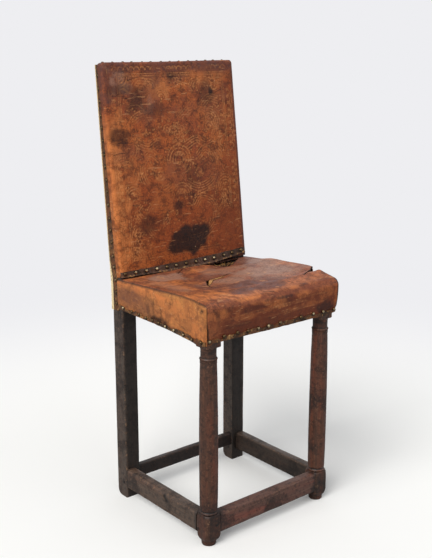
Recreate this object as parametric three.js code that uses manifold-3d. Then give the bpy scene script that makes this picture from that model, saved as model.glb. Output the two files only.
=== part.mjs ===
// A tall side chair: a pegged hardwood frame with turned front legs, low box stretchers and a raked
// back, with leather nailed over a stuffed seat and a padded back panel.
// Millimetres, +Z up, the chair faces -Y. The origin is on the floor, at the middle of the whole chair.

import * as THREE from "three";
import { mergeVertices } from "three/addons/utils/BufferGeometryUtils.js";
import Module from "manifold-3d";

const wasm = await Module();
wasm.setup();

// Frame
const frameWidth = 400; // over the outer faces of the legs
const frameDepth = 370; // from the front of the front legs to the rear of the rear legs
const seatFrameTop = 567; // top of the seat rails and of the front legs
const clearance = 0.3; // working gap between pieces that touch
const overrun = 6; // how far a cutter passes the face that it opens
const arris = 1.5; // worn edge along squared stock

// Front legs
const blockSize = 43;
const blockCorner = 5; // worn vertical corners of the blocks
const footHeight = 20;
const footRadius = 17;
const footChamfer = 2;
const baseBlockTop = 80;
const capBlockShow = 14; // how much of the cap block shows below the leather
const beadHeight = 7; // bead between the base block and the shaft
const beadRadius = 21.4;
const shaftBottomRadius = 20.6;
const shaftTopRadius = 18.9;
const shaftSwell = 2.2; // how far the shaft swells out of its straight taper
const filletHeight = 4; // each of the two fine lines under the ring
const filletRadius = 19.7;
const ringHeight = 6;
const ringRadius = 20.8;
const neckHeight = 16;
const neckRadius = 18.3;
const echinusHeight = 9; // quarter round under the cap block
const echinusRadius = 21.2;

// Rear legs, each in one piece with its back stile
const legWidth = 41;
const legDepth = 41;
const heelRadius = 15; // worn rear corner of the foot
const bendDrop = 2; // the stile starts to lean back this far below the top of the seat frame
const backLength = 535; // along the front face of the stile, above the bend
const backRake = THREE.MathUtils.degToRad(6.8);
const stileTopDepth = 22;

// Stretchers
const stretcherDrop = 1; // stretchers below the top of the base blocks
const frontStretcherHeight = 53;
const frontStretcherThickness = 25;
const frontStretcherSetback = 2;
const sideStretcherHeight = 50;
const sideStretcherThickness = 27;
const rearStretcherHeight = 35;
const rearStretcherThickness = 17;
const rearStretcherSetback = 4;
const stretcherWear = 7; // rounding of the upper outer edge

// Seat and back rails
const seatRailHeight = 60;
const seatRailThickness = 24;
const rearRailHeight = 40;
const rearRailSetback = 8;
const backRailHeight = 50;
const backRailThickness = 14;
const lowerRailRise = 27; // lower back rail above the bend, along the stile

// Tenons and pegs
const tenonThickness = 9;
const backTenonThickness = 6;
const tenonShoulder = 6;
const frontTenonLength = 28;
const legTenonLength = 26;
const backTenonLength = 22;
const tenonWall = 4; // wood left between two tenons that meet in one leg
const pegRadius = 3.5;
const pegLength = 26;
const backPegLength = 18;
const pegEdge = 11; // pegs of the side members above their lower edge

// Seat upholstery
const strapWidth = 50;
const strapThickness = 2;
const strapCount = 3;
const clothThickness = 1.5;
const clothMargin = 3;
const leather = 3;
const coverDrop = 5; // how far the leather hangs below the rails
const seatPadHeight = 19; // edge of the cover above the frame at the back, where it is lowest
const seatRoll = 14; // radius of the rolled upper edge
const seatBulge = 4;
const seatSwell = 8; // how far the long edges rise between back and front
const seatSag = 7; // hollow worn into the middle of the seat
const frontDrop = 5; // how far the front falls before it rolls over
const frontDropReach = 60;

// Back upholstery
const linenThickness = 1;
const backLift = 6; // outer face of the leather in front of the stiles
const backRoll = 7;
const backCorner = 9;
const backCrown = 5;
const backCoverRise = 25; // lower edge of the leather above the bend
const flapDepth = 10; // how far the leather is turned over the sides and the top
const rearLeather = 2.5;
const rearOverhang = 3;

// Nailed edge strips
const stripThickness = 2;
const seatStripWidth = 15;
const baseStripWidth = 17;
const baseStripRise = 2;
const stripInset = 4;
const nailRadius = 4.8;
const nailRise = 3.4;
const nailSink = 1;
const seatNailSpacing = 30;
const sideNailSpacing = 31;
const topNailSpacing = 28.5;

// Counts and shares
const turningSides = 18;
const shaftSteps = 9;
const roundSteps = 3;
const pegSides = 8;
const nailSides = 6;
const wallShares = [0, 0.35, 0.7];
const topShares = [0.3, 0.6, 0.85];
const cornerSteps = 3;
const acrossSteps = 8;
const alongSteps = 7;
const nailCrownShare = 0.72; // shoulder of the nail's dome, of its radius and its rise
const seamShares = [0.15, 0.35, 0.55, 0.75, 1];
const archPower = 0.6; // flattens the long curve of the seat's edges
const swellPower = 0.5; // flattens the shaft's swell

// Derived places
const halfWidth = frameWidth / 2;
const legFront = frameDepth - legDepth;
const blockInner = halfWidth - blockSize;
const legInner = halfWidth - legWidth;
const bendHeight = seatFrameTop - bendDrop;
const stretcherTop = baseBlockTop - stretcherDrop;
const seatRailBottom = seatFrameTop - seatRailHeight;
const seatCoverBottom = seatRailBottom - coverDrop;
const seatEdgeTop = seatFrameTop + seatPadHeight;
const capBlockBottom = seatCoverBottom - capBlockShow;
const coverHalf = halfWidth + clearance + leather;
const coverFront = -(clearance + leather);
const lapEnd = legFront + flapDepth - clearance;
const tongueEnd = legFront + flapDepth;
const stileCornerRadius = backCorner - leather;
const seatCorner = blockCorner + leather; // the cover follows the worn corners of the front legs
const clothEnd = legFront + rearRailSetback + seatRailThickness - clothMargin;
const clothBottom = seatFrameTop + 2 * strapThickness + 3 * clearance;
const clothTop = clothBottom + clothThickness;

const axisX = new THREE.Vector3(1, 0, 0);
const axisY = new THREE.Vector3(0, 1, 0);
const axisZ = new THREE.Vector3(0, 0, 1);

// The back leans in a frame of its own: x across, y into the stile, z up its front face.
const leaning = new THREE.Matrix4()
  .makeRotationX(-backRake)
  .setPosition(0, legFront, bendHeight);

const finishes = {
  wood: { color: 0x3b2519, roughness: 0.55, metalness: 0 },
  darkWood: { color: 0x241a15, roughness: 0.6, metalness: 0 },
  leather: { color: 0x9a5a30, roughness: 0.6, metalness: 0 },
  strip: { color: 0x4a3524, roughness: 0.6, metalness: 0 },
  cloth: { color: 0xb8a27c, roughness: 0.95, metalness: 0 },
};

// A closed geometry as a solid that can be joined and cut.
function solidOf(geometry) {
  const plain = geometry.clone();
  plain.deleteAttribute("normal");
  plain.deleteAttribute("uv");
  const merged = mergeVertices(plain);
  return new wasm.Manifold(
    new wasm.Mesh({
      numProp: 3,
      vertProperties: new Float32Array(merged.attributes.position.array),
      triVerts: new Uint32Array(merged.index.array),
    }),
  );
}

function geometryOf(solid) {
  const { vertProperties, triVerts } = solid.getMesh();
  const geometry = new THREE.BufferGeometry();
  geometry.setAttribute("position", new THREE.BufferAttribute(vertProperties, 3));
  geometry.setIndex(new THREE.BufferAttribute(triVerts, 1));
  return geometry;
}

// Puts a solid into a group as a named mesh whose own origin is at `origin`.
function addPiece(group, name, finish, solid, origin = new THREE.Vector3()) {
  const geometry = geometryOf(solid).translate(-origin.x, -origin.y, -origin.z);
  geometry.computeVertexNormals();
  const mesh = new THREE.Mesh(geometry, new THREE.MeshStandardMaterial(finishes[finish]));
  mesh.name = name;
  mesh.position.copy(origin);
  group.add(mesh);
}

function box(x0, x1, y0, y1, z0, z1) {
  const geometry = new THREE.BoxGeometry(x1 - x0, y1 - y0, z1 - z0);
  return solidOf(geometry.translate((x0 + x1) / 2, (y0 + y1) / 2, (z0 + z1) / 2));
}

// A box whose long direction is x or y; `near` and `far` bound it across that direction.
function boxAlong(axis, from, to, near, far, z0, z1) {
  return axis === "x" ? box(from, to, near, far, z0, z1) : box(near, far, from, to, z0, z1);
}

// An outline in (y, z), (x, z) or (x, y) drawn out along x, y or z, with a bevel at both ends.
function drawnOut(shape, axis, from, to, bevel = 0) {
  const geometry = new THREE.ExtrudeGeometry(shape, {
    depth: to - from - 2 * bevel,
    bevelEnabled: bevel > 0,
    bevelThickness: bevel,
    bevelSize: bevel,
    bevelOffset: -bevel,
    bevelSegments: 1,
    curveSegments: roundSteps,
  });
  geometry.translate(0, 0, bevel);
  if (axis === "x") {
    geometry.applyMatrix4(new THREE.Matrix4().makeBasis(axisY, axisZ, axisX)).translate(from, 0, 0);
  } else if (axis === "y") {
    const backwards = axisY.clone().negate();
    geometry.applyMatrix4(new THREE.Matrix4().makeBasis(axisX, axisZ, backwards)).translate(0, to, 0);
  } else {
    geometry.translate(0, 0, from);
  }
  return solidOf(geometry);
}

// A rectangle whose corners are rounded by radii, from the lower left one round to the upper left.
// A corner no larger than the arris is a plain chamfer.
function roundedRectangle(x0, x1, y0, y1, radii) {
  const corners = [
    [x0, y0, 1, 1, Math.PI],
    [x1, y0, -1, 1, 1.5 * Math.PI],
    [x1, y1, -1, -1, 0],
    [x0, y1, 1, -1, 0.5 * Math.PI],
  ];
  const points = corners.flatMap(([x, y, inX, inY, start], i) => {
    const radius = radii[i];
    const steps = radius > arris ? roundSteps : 1;
    return Array.from({ length: steps + 1 }, (_, j) => {
      const angle = start + (Math.PI / 2) * (j / steps);
      const reachX = x + radius * (inX + Math.cos(angle));
      return new THREE.Vector2(reachX, y + radius * (inY + Math.sin(angle)));
    });
  });
  return new THREE.Shape(points);
}

// A closed body through rings of as many points each, counter-clockwise about the way they rise.
function loft(rings) {
  const count = rings[0].length;
  const positions = rings.flat().flatMap((point) => [point.x, point.y, point.z]);
  const index = [];
  rings.slice(1).forEach((_, level) => {
    for (let j = 0; j < count; j++) {
      const next = (j + 1) % count;
      const low = level * count;
      const high = low + count;
      index.push(low + j, low + next, high + next, low + j, high + next, high + j);
    }
  });
  [rings[0], rings[rings.length - 1]].forEach((ring, end) => {
    const middle = ring.reduce((sum, point) => sum.add(point), new THREE.Vector3());
    const hub = positions.length / 3;
    positions.push(...middle.divideScalar(count).toArray());
    const start = end === 0 ? 0 : (rings.length - 1) * count;
    for (let j = 0; j < count; j++) {
      const here = start + j;
      const next = start + ((j + 1) % count);
      index.push(hub, ...(end === 0 ? [next, here] : [here, next]));
    }
  });
  const geometry = new THREE.BufferGeometry();
  geometry.setAttribute("position", new THREE.Float32BufferAttribute(positions, 3));
  geometry.setIndex(index);
  return solidOf(geometry);
}

// One squared bar between two legs, with its tenons and the pegs that pin them.
function barSolid(bar) {
  const wear = bar.worn ?? [arris, arris, arris, arris];
  const shape = roundedRectangle(bar.near, bar.far, bar.bottom, bar.top, wear);
  const body = drawnOut(shape, bar.axis, bar.from + clearance, bar.to - clearance);
  return cutPegHoles(body.add(tenonSolid(bar, 0)), bar);
}

// Both tenons as one slip through the bar; grown by a clearance it cuts their mortises.
function tenonSolid(bar, growth) {
  const middle = (bar.near + bar.far) / 2;
  const cheek = bar.tenonThickness / 2 + growth;
  return boxAlong(
    bar.axis,
    bar.from - bar.startTenon - growth,
    bar.to + bar.endTenon + growth,
    middle - cheek,
    middle + cheek,
    bar.bottom + tenonShoulder - growth,
    bar.top - tenonShoulder + growth,
  );
}

function pegPlaces(bar) {
  return [bar.from - bar.startTenon / 2, bar.to + bar.endTenon / 2];
}

// A peg across one tenon, driven in from the face of the leg.
function pegSolid(bar, place, growth) {
  const outer = bar.pegFace - bar.pegSign * (growth > 0 ? overrun : 0);
  const inner = bar.pegFace + bar.pegSign * (bar.pegLength + growth);
  const radius = pegRadius + growth;
  const geometry = new THREE.CylinderGeometry(radius, radius, Math.abs(inner - outer), pegSides);
  const middle = (outer + inner) / 2;
  if (bar.axis === "x") {
    return solidOf(geometry.translate(place, middle, bar.pegHeight));
  }
  return solidOf(geometry.rotateZ(Math.PI / 2).translate(middle, place, bar.pegHeight));
}

function cutPegHoles(solid, bar) {
  return pegPlaces(bar).reduce(
    (rest, place) => rest.subtract(pegSolid(bar, place, clearance)),
    solid,
  );
}

function cutJoints(solid, bars) {
  return bars.reduce((rest, bar) => {
    const opened = rest.subtract(tenonSolid(bar, clearance));
    return cutPegHoles(opened, bar);
  }, solid);
}

// A side member's tenon in a front block stops short of the front member's tenon there.
function sideTenonLength(setback, thickness) {
  return blockSize - (setback + (thickness + tenonThickness) / 2) - tenonWall;
}

// A rear member's tenon stops short of the side member's tenon in the same leg.
function rearTenonLength(sideThickness) {
  return legWidth - (sideThickness + tenonThickness) / 2 - tenonWall;
}

function frontBar(name, thickness, setback, bottom, top, worn) {
  return {
    name,
    axis: "x",
    ends: ["left", "right"],
    from: -blockInner,
    to: blockInner,
    near: setback,
    far: setback + thickness,
    bottom,
    top,
    worn,
    startTenon: frontTenonLength,
    endTenon: frontTenonLength,
    tenonThickness,
    pegFace: 0,
    pegSign: 1,
    pegHeight: (bottom + top) / 2,
    pegLength,
  };
}

function rearBar(name, thickness, setback, bottom, top, sideThickness) {
  return {
    name,
    axis: "x",
    ends: ["left", "right"],
    from: -legInner,
    to: legInner,
    near: legFront + setback,
    far: legFront + setback + thickness,
    bottom,
    top,
    startTenon: rearTenonLength(sideThickness),
    endTenon: rearTenonLength(sideThickness),
    tenonThickness,
    pegFace: frameDepth,
    pegSign: -1,
    pegHeight: (bottom + top) / 2,
    pegLength,
  };
}

function sideBar(name, side, thickness, bottom, top, frontTenon, worn) {
  const outer = side * halfWidth;
  const inner = side * (halfWidth - thickness);
  return {
    name,
    axis: "y",
    ends: ["front", "rear"],
    from: blockSize,
    to: legFront,
    near: Math.min(outer, inner),
    far: Math.max(outer, inner),
    bottom,
    top,
    worn,
    startTenon: frontTenon,
    endTenon: legTenonLength,
    tenonThickness,
    pegFace: outer,
    pegSign: -side,
    pegHeight: bottom + pegEdge,
    pegLength,
  };
}

function backBar(name, bottom) {
  return {
    name,
    axis: "x",
    ends: ["left", "right"],
    from: -legInner,
    to: legInner,
    near: 0,
    far: backRailThickness,
    bottom,
    top: bottom + backRailHeight,
    startTenon: backTenonLength,
    endTenon: backTenonLength,
    tenonThickness: backTenonThickness,
    pegFace: 0,
    pegSign: 1,
    pegHeight: bottom + backRailHeight / 2,
    pegLength: backPegLength,
  };
}

function frameBars() {
  const wornFront = [arris, arris, arris, stretcherWear];
  const wornLeft = [arris, arris, arris, stretcherWear];
  const wornRight = [arris, arris, stretcherWear, arris];
  const stretcherTenon = sideTenonLength(frontStretcherSetback, frontStretcherThickness);
  const railTenon = sideTenonLength(0, seatRailThickness);
  const sides = [
    ["left", -1, wornLeft],
    ["right", 1, wornRight],
  ];
  return [
    frontBar(
      "front_stretcher",
      frontStretcherThickness,
      frontStretcherSetback,
      stretcherTop - frontStretcherHeight,
      stretcherTop,
      wornFront,
    ),
    rearBar(
      "rear_stretcher",
      rearStretcherThickness,
      rearStretcherSetback,
      stretcherTop - rearStretcherHeight,
      stretcherTop,
      sideStretcherThickness,
    ),
    frontBar("front_seat_rail", seatRailThickness, 0, seatRailBottom, seatFrameTop),
    rearBar(
      "rear_seat_rail",
      seatRailThickness,
      rearRailSetback,
      seatFrameTop - rearRailHeight,
      seatFrameTop,
      seatRailThickness,
    ),
    ...sides.flatMap(([word, side, worn]) => [
      sideBar(
        `${word}_stretcher`,
        side,
        sideStretcherThickness,
        stretcherTop - sideStretcherHeight,
        stretcherTop,
        stretcherTenon,
        worn,
      ),
      sideBar(
        `${word}_seat_rail`,
        side,
        seatRailThickness,
        seatRailBottom,
        seatFrameTop,
        railTenon,
      ),
    ]),
  ];
}

function backBars() {
  return [
    backBar("lower_back_rail", lowerRailRise),
    backBar("crest_rail", backLength - backRailHeight),
  ];
}

// Half outline of the turning: foot, bead, swelling shaft, fillets, ring, neck and quarter round.
function turnedOutline() {
  const shaftBottom = baseBlockTop + beadHeight;
  const neckTop = capBlockBottom - echinusHeight;
  const ringTop = neckTop - neckHeight;
  const filletTop = ringTop - ringHeight;
  const shaftTop = filletTop - 2 * filletHeight;
  const points = [
    [0, 0],
    [footRadius - footChamfer, 0],
    [footRadius, footChamfer],
    [footRadius, baseBlockTop - beadHeight],
    [shaftBottomRadius, baseBlockTop],
  ];
  const beadDepth = beadRadius - shaftBottomRadius;
  for (let i = 1; i < roundSteps; i++) {
    const share = i / roundSteps;
    const radius = shaftBottomRadius + beadDepth * Math.sin(Math.PI * share);
    points.push([radius, baseBlockTop + beadHeight * share]);
  }
  for (let i = 0; i <= shaftSteps; i++) {
    const share = i / shaftSteps;
    const straight = THREE.MathUtils.lerp(shaftBottomRadius, shaftTopRadius, share);
    const swell = shaftSwell * Math.sin(Math.PI * share) ** swellPower;
    points.push([straight + swell, THREE.MathUtils.lerp(shaftBottom, shaftTop, share)]);
  }
  for (let i = 0; i < 2; i++) {
    const low = shaftTop + i * filletHeight;
    points.push([filletRadius, low + filletHeight / 4]);
    points.push([filletRadius, low + filletHeight / 2]);
    points.push([shaftTopRadius, low + filletHeight]);
  }
  for (let i = 1; i < roundSteps; i++) {
    const share = i / roundSteps;
    const radius = neckRadius + (ringRadius - neckRadius) * Math.sin(Math.PI * share);
    points.push([radius, filletTop + ringHeight * share]);
  }
  points.push([neckRadius, ringTop], [neckRadius, neckTop]);
  for (let i = 1; i <= roundSteps; i++) {
    const angle = (Math.PI / 2) * (i / roundSteps);
    const radius = neckRadius + (echinusRadius - neckRadius) * Math.sin(angle);
    points.push([radius, neckTop + echinusHeight * (1 - Math.cos(angle))]);
  }
  points.push([echinusRadius, capBlockBottom + echinusHeight], [0, capBlockBottom + echinusHeight]);
  return points.map(([radius, height]) => new THREE.Vector2(radius, height));
}

function squareBlock(bottom, top) {
  const half = blockSize / 2;
  const corners = [blockCorner, blockCorner, blockCorner, blockCorner];
  const shape = roundedRectangle(-half, half, -half, half, corners);
  return drawnOut(shape, "z", bottom, top, arris);
}

// A front leg standing at its own place, opened for its four joints.
function frontLeg(place, bars) {
  const turning = new THREE.LatheGeometry(turnedOutline(), turningSides).rotateX(Math.PI / 2);
  const leg = solidOf(turning)
    .add(squareBlock(footHeight, baseBlockTop))
    .add(squareBlock(capBlockBottom, seatFrameTop));
  const standing = solidOf(geometryOf(leg).translate(place.x, place.y, place.z));
  return cutJoints(standing, bars);
}

// A point of the leaning back, (into the stile, up its front face), as (y, z) of the chair.
function leaningPoint(depth, rise) {
  const point = new THREE.Vector3(0, depth, rise).applyMatrix4(leaning);
  return [point.y, point.z];
}

// What the worn upper corner of a stile has lost, in the leaning frame.
function stileCorner(side) {
  const shape = new THREE.Shape();
  const centre = halfWidth - stileCornerRadius;
  const rise = backLength - stileCornerRadius;
  shape.moveTo(centre, backLength + overrun);
  shape.lineTo(centre, backLength);
  for (let i = 1; i <= cornerSteps; i++) {
    const angle = (Math.PI / 2) * (1 - i / cornerSteps);
    const reach = stileCornerRadius * Math.cos(angle);
    shape.lineTo(centre + reach, rise + stileCornerRadius * Math.sin(angle));
  }
  shape.lineTo(halfWidth + overrun, rise);
  shape.lineTo(halfWidth + overrun, backLength + overrun);
  const mirrored = new THREE.Shape(shape.getPoints().map(({ x, y }) => new THREE.Vector2(side * x, y)));
  return drawnOut(mirrored, "y", -overrun, legDepth);
}

// A rear leg and its stile, cut from one board, with its side outline in (y, z).
function rearLeg(side, bars, backCutters) {
  const shape = new THREE.Shape();
  shape.moveTo(legFront, 0);
  shape.lineTo(frameDepth - heelRadius, 0);
  shape.absarc(frameDepth - heelRadius, heelRadius, heelRadius, -Math.PI / 2, 0);
  shape.lineTo(frameDepth, bendHeight);
  shape.lineTo(...leaningPoint(stileTopDepth, backLength));
  shape.lineTo(...leaningPoint(0, backLength));
  shape.lineTo(legFront, bendHeight);
  const outer = side * halfWidth;
  const inner = side * legInner;
  const board = drawnOut(shape, "x", Math.min(outer, inner), Math.max(outer, inner), arris);
  const cutters = [...backCutters, lean(stileCorner(side))];
  return cutters.reduce((rest, cutter) => rest.subtract(cutter), cutJoints(board, bars));
}

// A solid of the leaning frame in the chair's own.
function lean(solid) {
  return solidOf(geometryOf(solid).applyMatrix4(leaning));
}

// The mortises and peg holes of the back rails.
function backCutters(bars) {
  return bars.flatMap((bar) => [
    lean(tenonSolid(bar, clearance)),
    ...pegPlaces(bar).map((place) => lean(pegSolid(bar, place, clearance))),
  ]);
}

function addBars(group, bars, finish) {
  for (const bar of bars) {
    const middle = (bar.near + bar.far) / 2;
    const centre = bar.axis === "x" ? [0, middle] : [middle, (bar.from + bar.to) / 2];
    const origin = new THREE.Vector3(...centre, (bar.bottom + bar.top) / 2);
    addPiece(group, bar.name, finish, barSolid(bar), origin);
    pegPlaces(bar).forEach((place, i) => {
      const start = bar.axis === "x" ? [place, bar.pegFace] : [bar.pegFace, place];
      const head = new THREE.Vector3(...start, bar.pegHeight);
      addPiece(group, `${bar.name}_peg_${bar.ends[i]}`, finish, pegSolid(bar, place, 0), head);
    });
  }
}

// One ring of a pillow: a rounded rectangle, with as many points whatever its size.
function planRing(half, front, rear, corner) {
  const centres = [
    [half - corner, front + corner, -Math.PI / 2],
    [half - corner, rear - corner, 0],
    [corner - half, rear - corner, Math.PI / 2],
    [corner - half, front + corner, Math.PI],
  ];
  const arcs = centres.map(([x, y, start]) =>
    Array.from({ length: cornerSteps + 1 }, (_, i) => {
      const angle = start + (Math.PI / 2) * (i / cornerSteps);
      return new THREE.Vector2(x + corner * Math.cos(angle), y + corner * Math.sin(angle));
    }),
  );
  return arcs.flatMap((arc, i) => {
    const last = arc[cornerSteps];
    const next = arcs[(i + 1) % arcs.length][0];
    const steps = i % 2 === 0 ? alongSteps : acrossSteps;
    const between = Array.from({ length: steps - 1 }, (_, j) =>
      last.clone().lerp(next, (j + 1) / steps),
    );
    return [...arc, ...between];
  });
}

// A stuffed body: walls that swell outwards, a rolled upper edge and a crowned top. `skin` shrinks
// it all round, so that a cover, its stuffing and the strips on it stay parallel.
function pillow(form, skin, below = 0) {
  const half = form.half - skin;
  const front = form.front + skin;
  const rear = form.rear - skin;
  const top = form.top - skin;
  const roll = form.roll - skin;
  const levels = [];
  if (below > 0) {
    levels.push([0, form.floor - below]);
  }
  for (const share of wallShares) {
    const height = THREE.MathUtils.lerp(form.floor, form.top - form.roll, share);
    levels.push([-form.bulge * Math.sin((Math.PI / 2) * share), height]);
  }
  for (let i = 0; i <= roundSteps; i++) {
    const angle = (Math.PI / 2) * (i / roundSteps);
    levels.push([roll * (1 - Math.cos(angle)) - form.bulge, top - roll + roll * Math.sin(angle)]);
  }
  const reach = Math.min(half, (rear - front) / 2);
  for (const share of topShares) {
    levels.push([reach * share, top]);
  }
  const rings = levels.map(([inset, height]) => {
    const corner = Math.max(form.corner - skin - inset, form.corner / 4);
    const lift = Math.max(height - form.floor, 0) / (form.top - form.floor);
    return planRing(half - inset, front + inset, rear - inset, corner).map(
      ({ x, y }) => new THREE.Vector3(x, y, height + lift * form.crown(x, y)),
    );
  });
  return loft(rings);
}

// The layer of a pillow between two skins, open below.
function coat(form, outer, inner) {
  return pillow(form, outer).subtract(pillow(form, inner, overrun));
}

function seatCrown(x, y) {
  const along = THREE.MathUtils.clamp((y - coverFront) / (legFront - coverFront), 0, 1);
  const across = THREE.MathUtils.clamp(x / coverHalf, -1, 1);
  const arch = Math.sin(Math.PI * along);
  const fall = Math.max(1 - (y - coverFront) / frontDropReach, 0) ** 2;
  return seatSwell * arch ** archPower - seatSag * (1 - across ** 2) * arch - frontDrop * fall;
}

const seatForm = {
  half: coverHalf,
  front: coverFront,
  rear: frameDepth + seatRoll + clearance,
  floor: seatCoverBottom,
  top: seatEdgeTop,
  roll: seatRoll,
  corner: seatCorner,
  bulge: seatBulge,
  crown: seatCrown,
};

// The part of the cover that is the side panel: outside mitres along the seat's upper edge and its
// front corner. Growing it opens the seam.
function sideRegion(side, growth) {
  const edge = coverHalf + seatBulge - growth;
  const corner = coverFront - seatBulge;
  const reach = seatRoll;
  const low = seatCoverBottom - overrun;
  const ring = (station, yInner, yOuter) => {
    const seam = seatEdgeTop + seatCrown(coverHalf, station) + growth;
    const points = [
      [edge + reach, yOuter, low],
      [edge + reach, yOuter, seam + reach],
      [edge - reach, yInner, seam - reach],
      [edge - reach, yInner, low],
    ];
    return points.map(([x, y, z]) => new THREE.Vector3(side * x, y, z));
  };
  const stations = seamShares.map((share) => THREE.MathUtils.lerp(corner, legFront, share));
  const rings = [
    ring(corner + reach, corner - growth + reach, corner - growth - reach),
    ...[...stations, lapEnd].map((station) => ring(station, station, station)),
  ];
  return loft(side < 0 ? rings : rings.map((points) => points.reverse()));
}

// Everything in front of the stiles, with a tongue between them.
function behindSeat() {
  const top = seatEdgeTop + seatSwell + overrun;
  const low = seatCoverBottom - overrun;
  const far = seatForm.rear + overrun;
  const wide = coverHalf + seatBulge + overrun;
  return box(-wide, wide, tongueEnd, far, low, top)
    .add(box(-wide, clearance - legInner, legFront - clearance, far, low, top))
    .add(box(legInner - clearance, wide, legFront - clearance, far, low, top));
}

// A layer of webbing: straps side by side between `near` and `far`, each running from `from` to `to`.
function addStraps(group, word, axis, near, far, from, to, low) {
  for (let i = 0; i < strapCount; i++) {
    const middle = THREE.MathUtils.lerp(near, far, (i + 0.5) / strapCount);
    const edges = [middle - strapWidth / 2, middle + strapWidth / 2];
    const strap = boxAlong(axis, from, to, ...edges, low, low + strapThickness);
    addPiece(group, `seat_strap_${word}_${i + 1}`, "cloth", strap);
  }
}

function seatStraps(group) {
  const low = seatFrameTop + clearance;
  const high = low + strapThickness + clearance;
  const side = halfWidth - clothMargin;
  addStraps(group, "long", "y", -legInner, legInner, clothMargin, clothEnd, low);
  addStraps(group, "cross", "x", blockSize, legFront, -side, side, high);
}

// Sackcloth over the straps, cut round the stiles.
function seatCloth() {
  const wide = halfWidth - clothMargin;
  const tongue = legInner - clothMargin;
  return box(-wide, wide, clothMargin, legFront - clothMargin, clothBottom, clothTop).add(
    box(-tongue, tongue, clothMargin, clothEnd, clothBottom, clothTop),
  );
}

function seatStuffing() {
  const wide = coverHalf + overrun;
  const low = seatCoverBottom - overrun;
  const under = box(-wide, wide, coverFront - overrun, seatForm.rear, low, clothTop + clearance);
  return pillow(seatForm, leather + clearance).subtract(under).subtract(behindSeat());
}

function seatTopLeather() {
  return coat(seatForm, 0, leather)
    .subtract(sideRegion(-1, clearance))
    .subtract(sideRegion(1, clearance))
    .subtract(behindSeat());
}

function seatSideLeather(side) {
  return coat(seatForm, 0, leather).intersect(sideRegion(side, 0));
}

// A domed nail head on a surface point, facing along `normal` and sunk a little into its strip.
function nailHead(point, normal) {
  const outline = [
    [0, -nailSink],
    [nailRadius, -nailSink],
    [nailRadius, 0],
    [nailRadius * nailCrownShare, nailRise * nailCrownShare],
    [0, nailRise],
  ].map(([radius, height]) => new THREE.Vector2(radius, height));
  const turn = new THREE.Quaternion().setFromUnitVectors(axisY, normal);
  const geometry = new THREE.LatheGeometry(outline, nailSides).applyQuaternion(turn);
  return solidOf(geometry.translate(point.x, point.y, point.z));
}

// Nail heads at even steps of about `spacing` from one point to another, half a step in from both.
function nailRow(strip, from, to, normal, spacing) {
  const count = Math.max(Math.round(from.distanceTo(to) / spacing), 1);
  let nailed = strip;
  for (let i = 0; i < count; i++) {
    const point = from.clone().lerp(to, (i + 0.5) / count);
    nailed = nailed.add(nailHead(point, normal));
  }
  return nailed;
}

function seatStripBand() {
  const wide = coverHalf + seatBulge + overrun;
  const low = seatCoverBottom - overrun;
  const high = seatCoverBottom + seatStripWidth;
  return coat(seatForm, -(clearance + stripThickness), -clearance).intersect(
    box(-wide, wide, coverFront - seatBulge - overrun, seatForm.rear, low, high),
  );
}

// How far out a seat strip's face stands at its middle, from the cover's own foot.
function seatStripFace() {
  const wall = seatEdgeTop - seatRoll - seatCoverBottom;
  const rise = seatStripWidth / 2 / (wall * wallShares[1]);
  const bulge = seatBulge * Math.sin((Math.PI / 2) * wallShares[1]) * rise;
  return clearance + stripThickness + bulge;
}

function seatFrontStrip() {
  const face = coverFront - seatStripFace();
  const height = seatCoverBottom + seatStripWidth / 2;
  const end = coverHalf - seatCorner;
  const strip = seatStripBand()
    .subtract(sideRegion(-1, clearance))
    .subtract(sideRegion(1, clearance))
    .subtract(behindSeat());
  const from = new THREE.Vector3(-end, face, height);
  const to = new THREE.Vector3(end, face, height);
  return nailRow(strip, from, to, axisY.clone().negate(), seatNailSpacing);
}

function seatSideStrip(side) {
  const face = side * (coverHalf + seatStripFace());
  const height = seatCoverBottom + seatStripWidth / 2;
  const strip = seatStripBand().intersect(sideRegion(side, 0));
  const from = new THREE.Vector3(face, coverFront + seatCorner, height);
  const to = new THREE.Vector3(face, lapEnd, height);
  return nailRow(strip, from, to, axisX.clone().multiplyScalar(side), seatNailSpacing);
}

function backCrownAt(x, y) {
  const along = THREE.MathUtils.clamp((y - backCoverRise) / (backLength - backCoverRise), 0, 1);
  const across = THREE.MathUtils.clamp(x / coverHalf, -1, 1);
  return backCrown * (1 - across ** 2) * Math.sin(Math.PI * along);
}

// The back cover as a pillow lying on its back: y runs up the stile and z out of its front face.
const backForm = {
  half: coverHalf,
  front: backCoverRise - backRoll - overrun,
  rear: backLength + clearance + leather,
  floor: -flapDepth,
  top: backLift,
  roll: backRoll,
  corner: backCorner,
  bulge: 0,
  crown: backCrownAt,
};

function standUp(solid) {
  return solidOf(geometryOf(solid).rotateX(Math.PI / 2));
}

// The part of the lying back cover between two heights, in front of a given depth.
function backSlice(low, high, depth) {
  const wide = coverHalf + stripThickness + overrun;
  return box(-wide, wide, low, high, depth, backLift + backCrown + stripThickness + overrun);
}

function backFrontLeather() {
  const whole = backSlice(backCoverRise, backForm.rear + overrun, -flapDepth - overrun);
  return standUp(coat(backForm, 0, leather).intersect(whole));
}

function backPadding() {
  const low = backCoverRise + clearance;
  const face = linenThickness + 2 * clearance;
  const room = backSlice(low, backLength, face);
  return standUp(pillow(backForm, leather + clearance).intersect(room));
}

function backLinen() {
  const wide = halfWidth - clothMargin;
  const low = backCoverRise + clothMargin;
  return box(-wide, wide, -clearance - linenThickness, -clearance, low, backLength - clothMargin);
}

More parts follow.
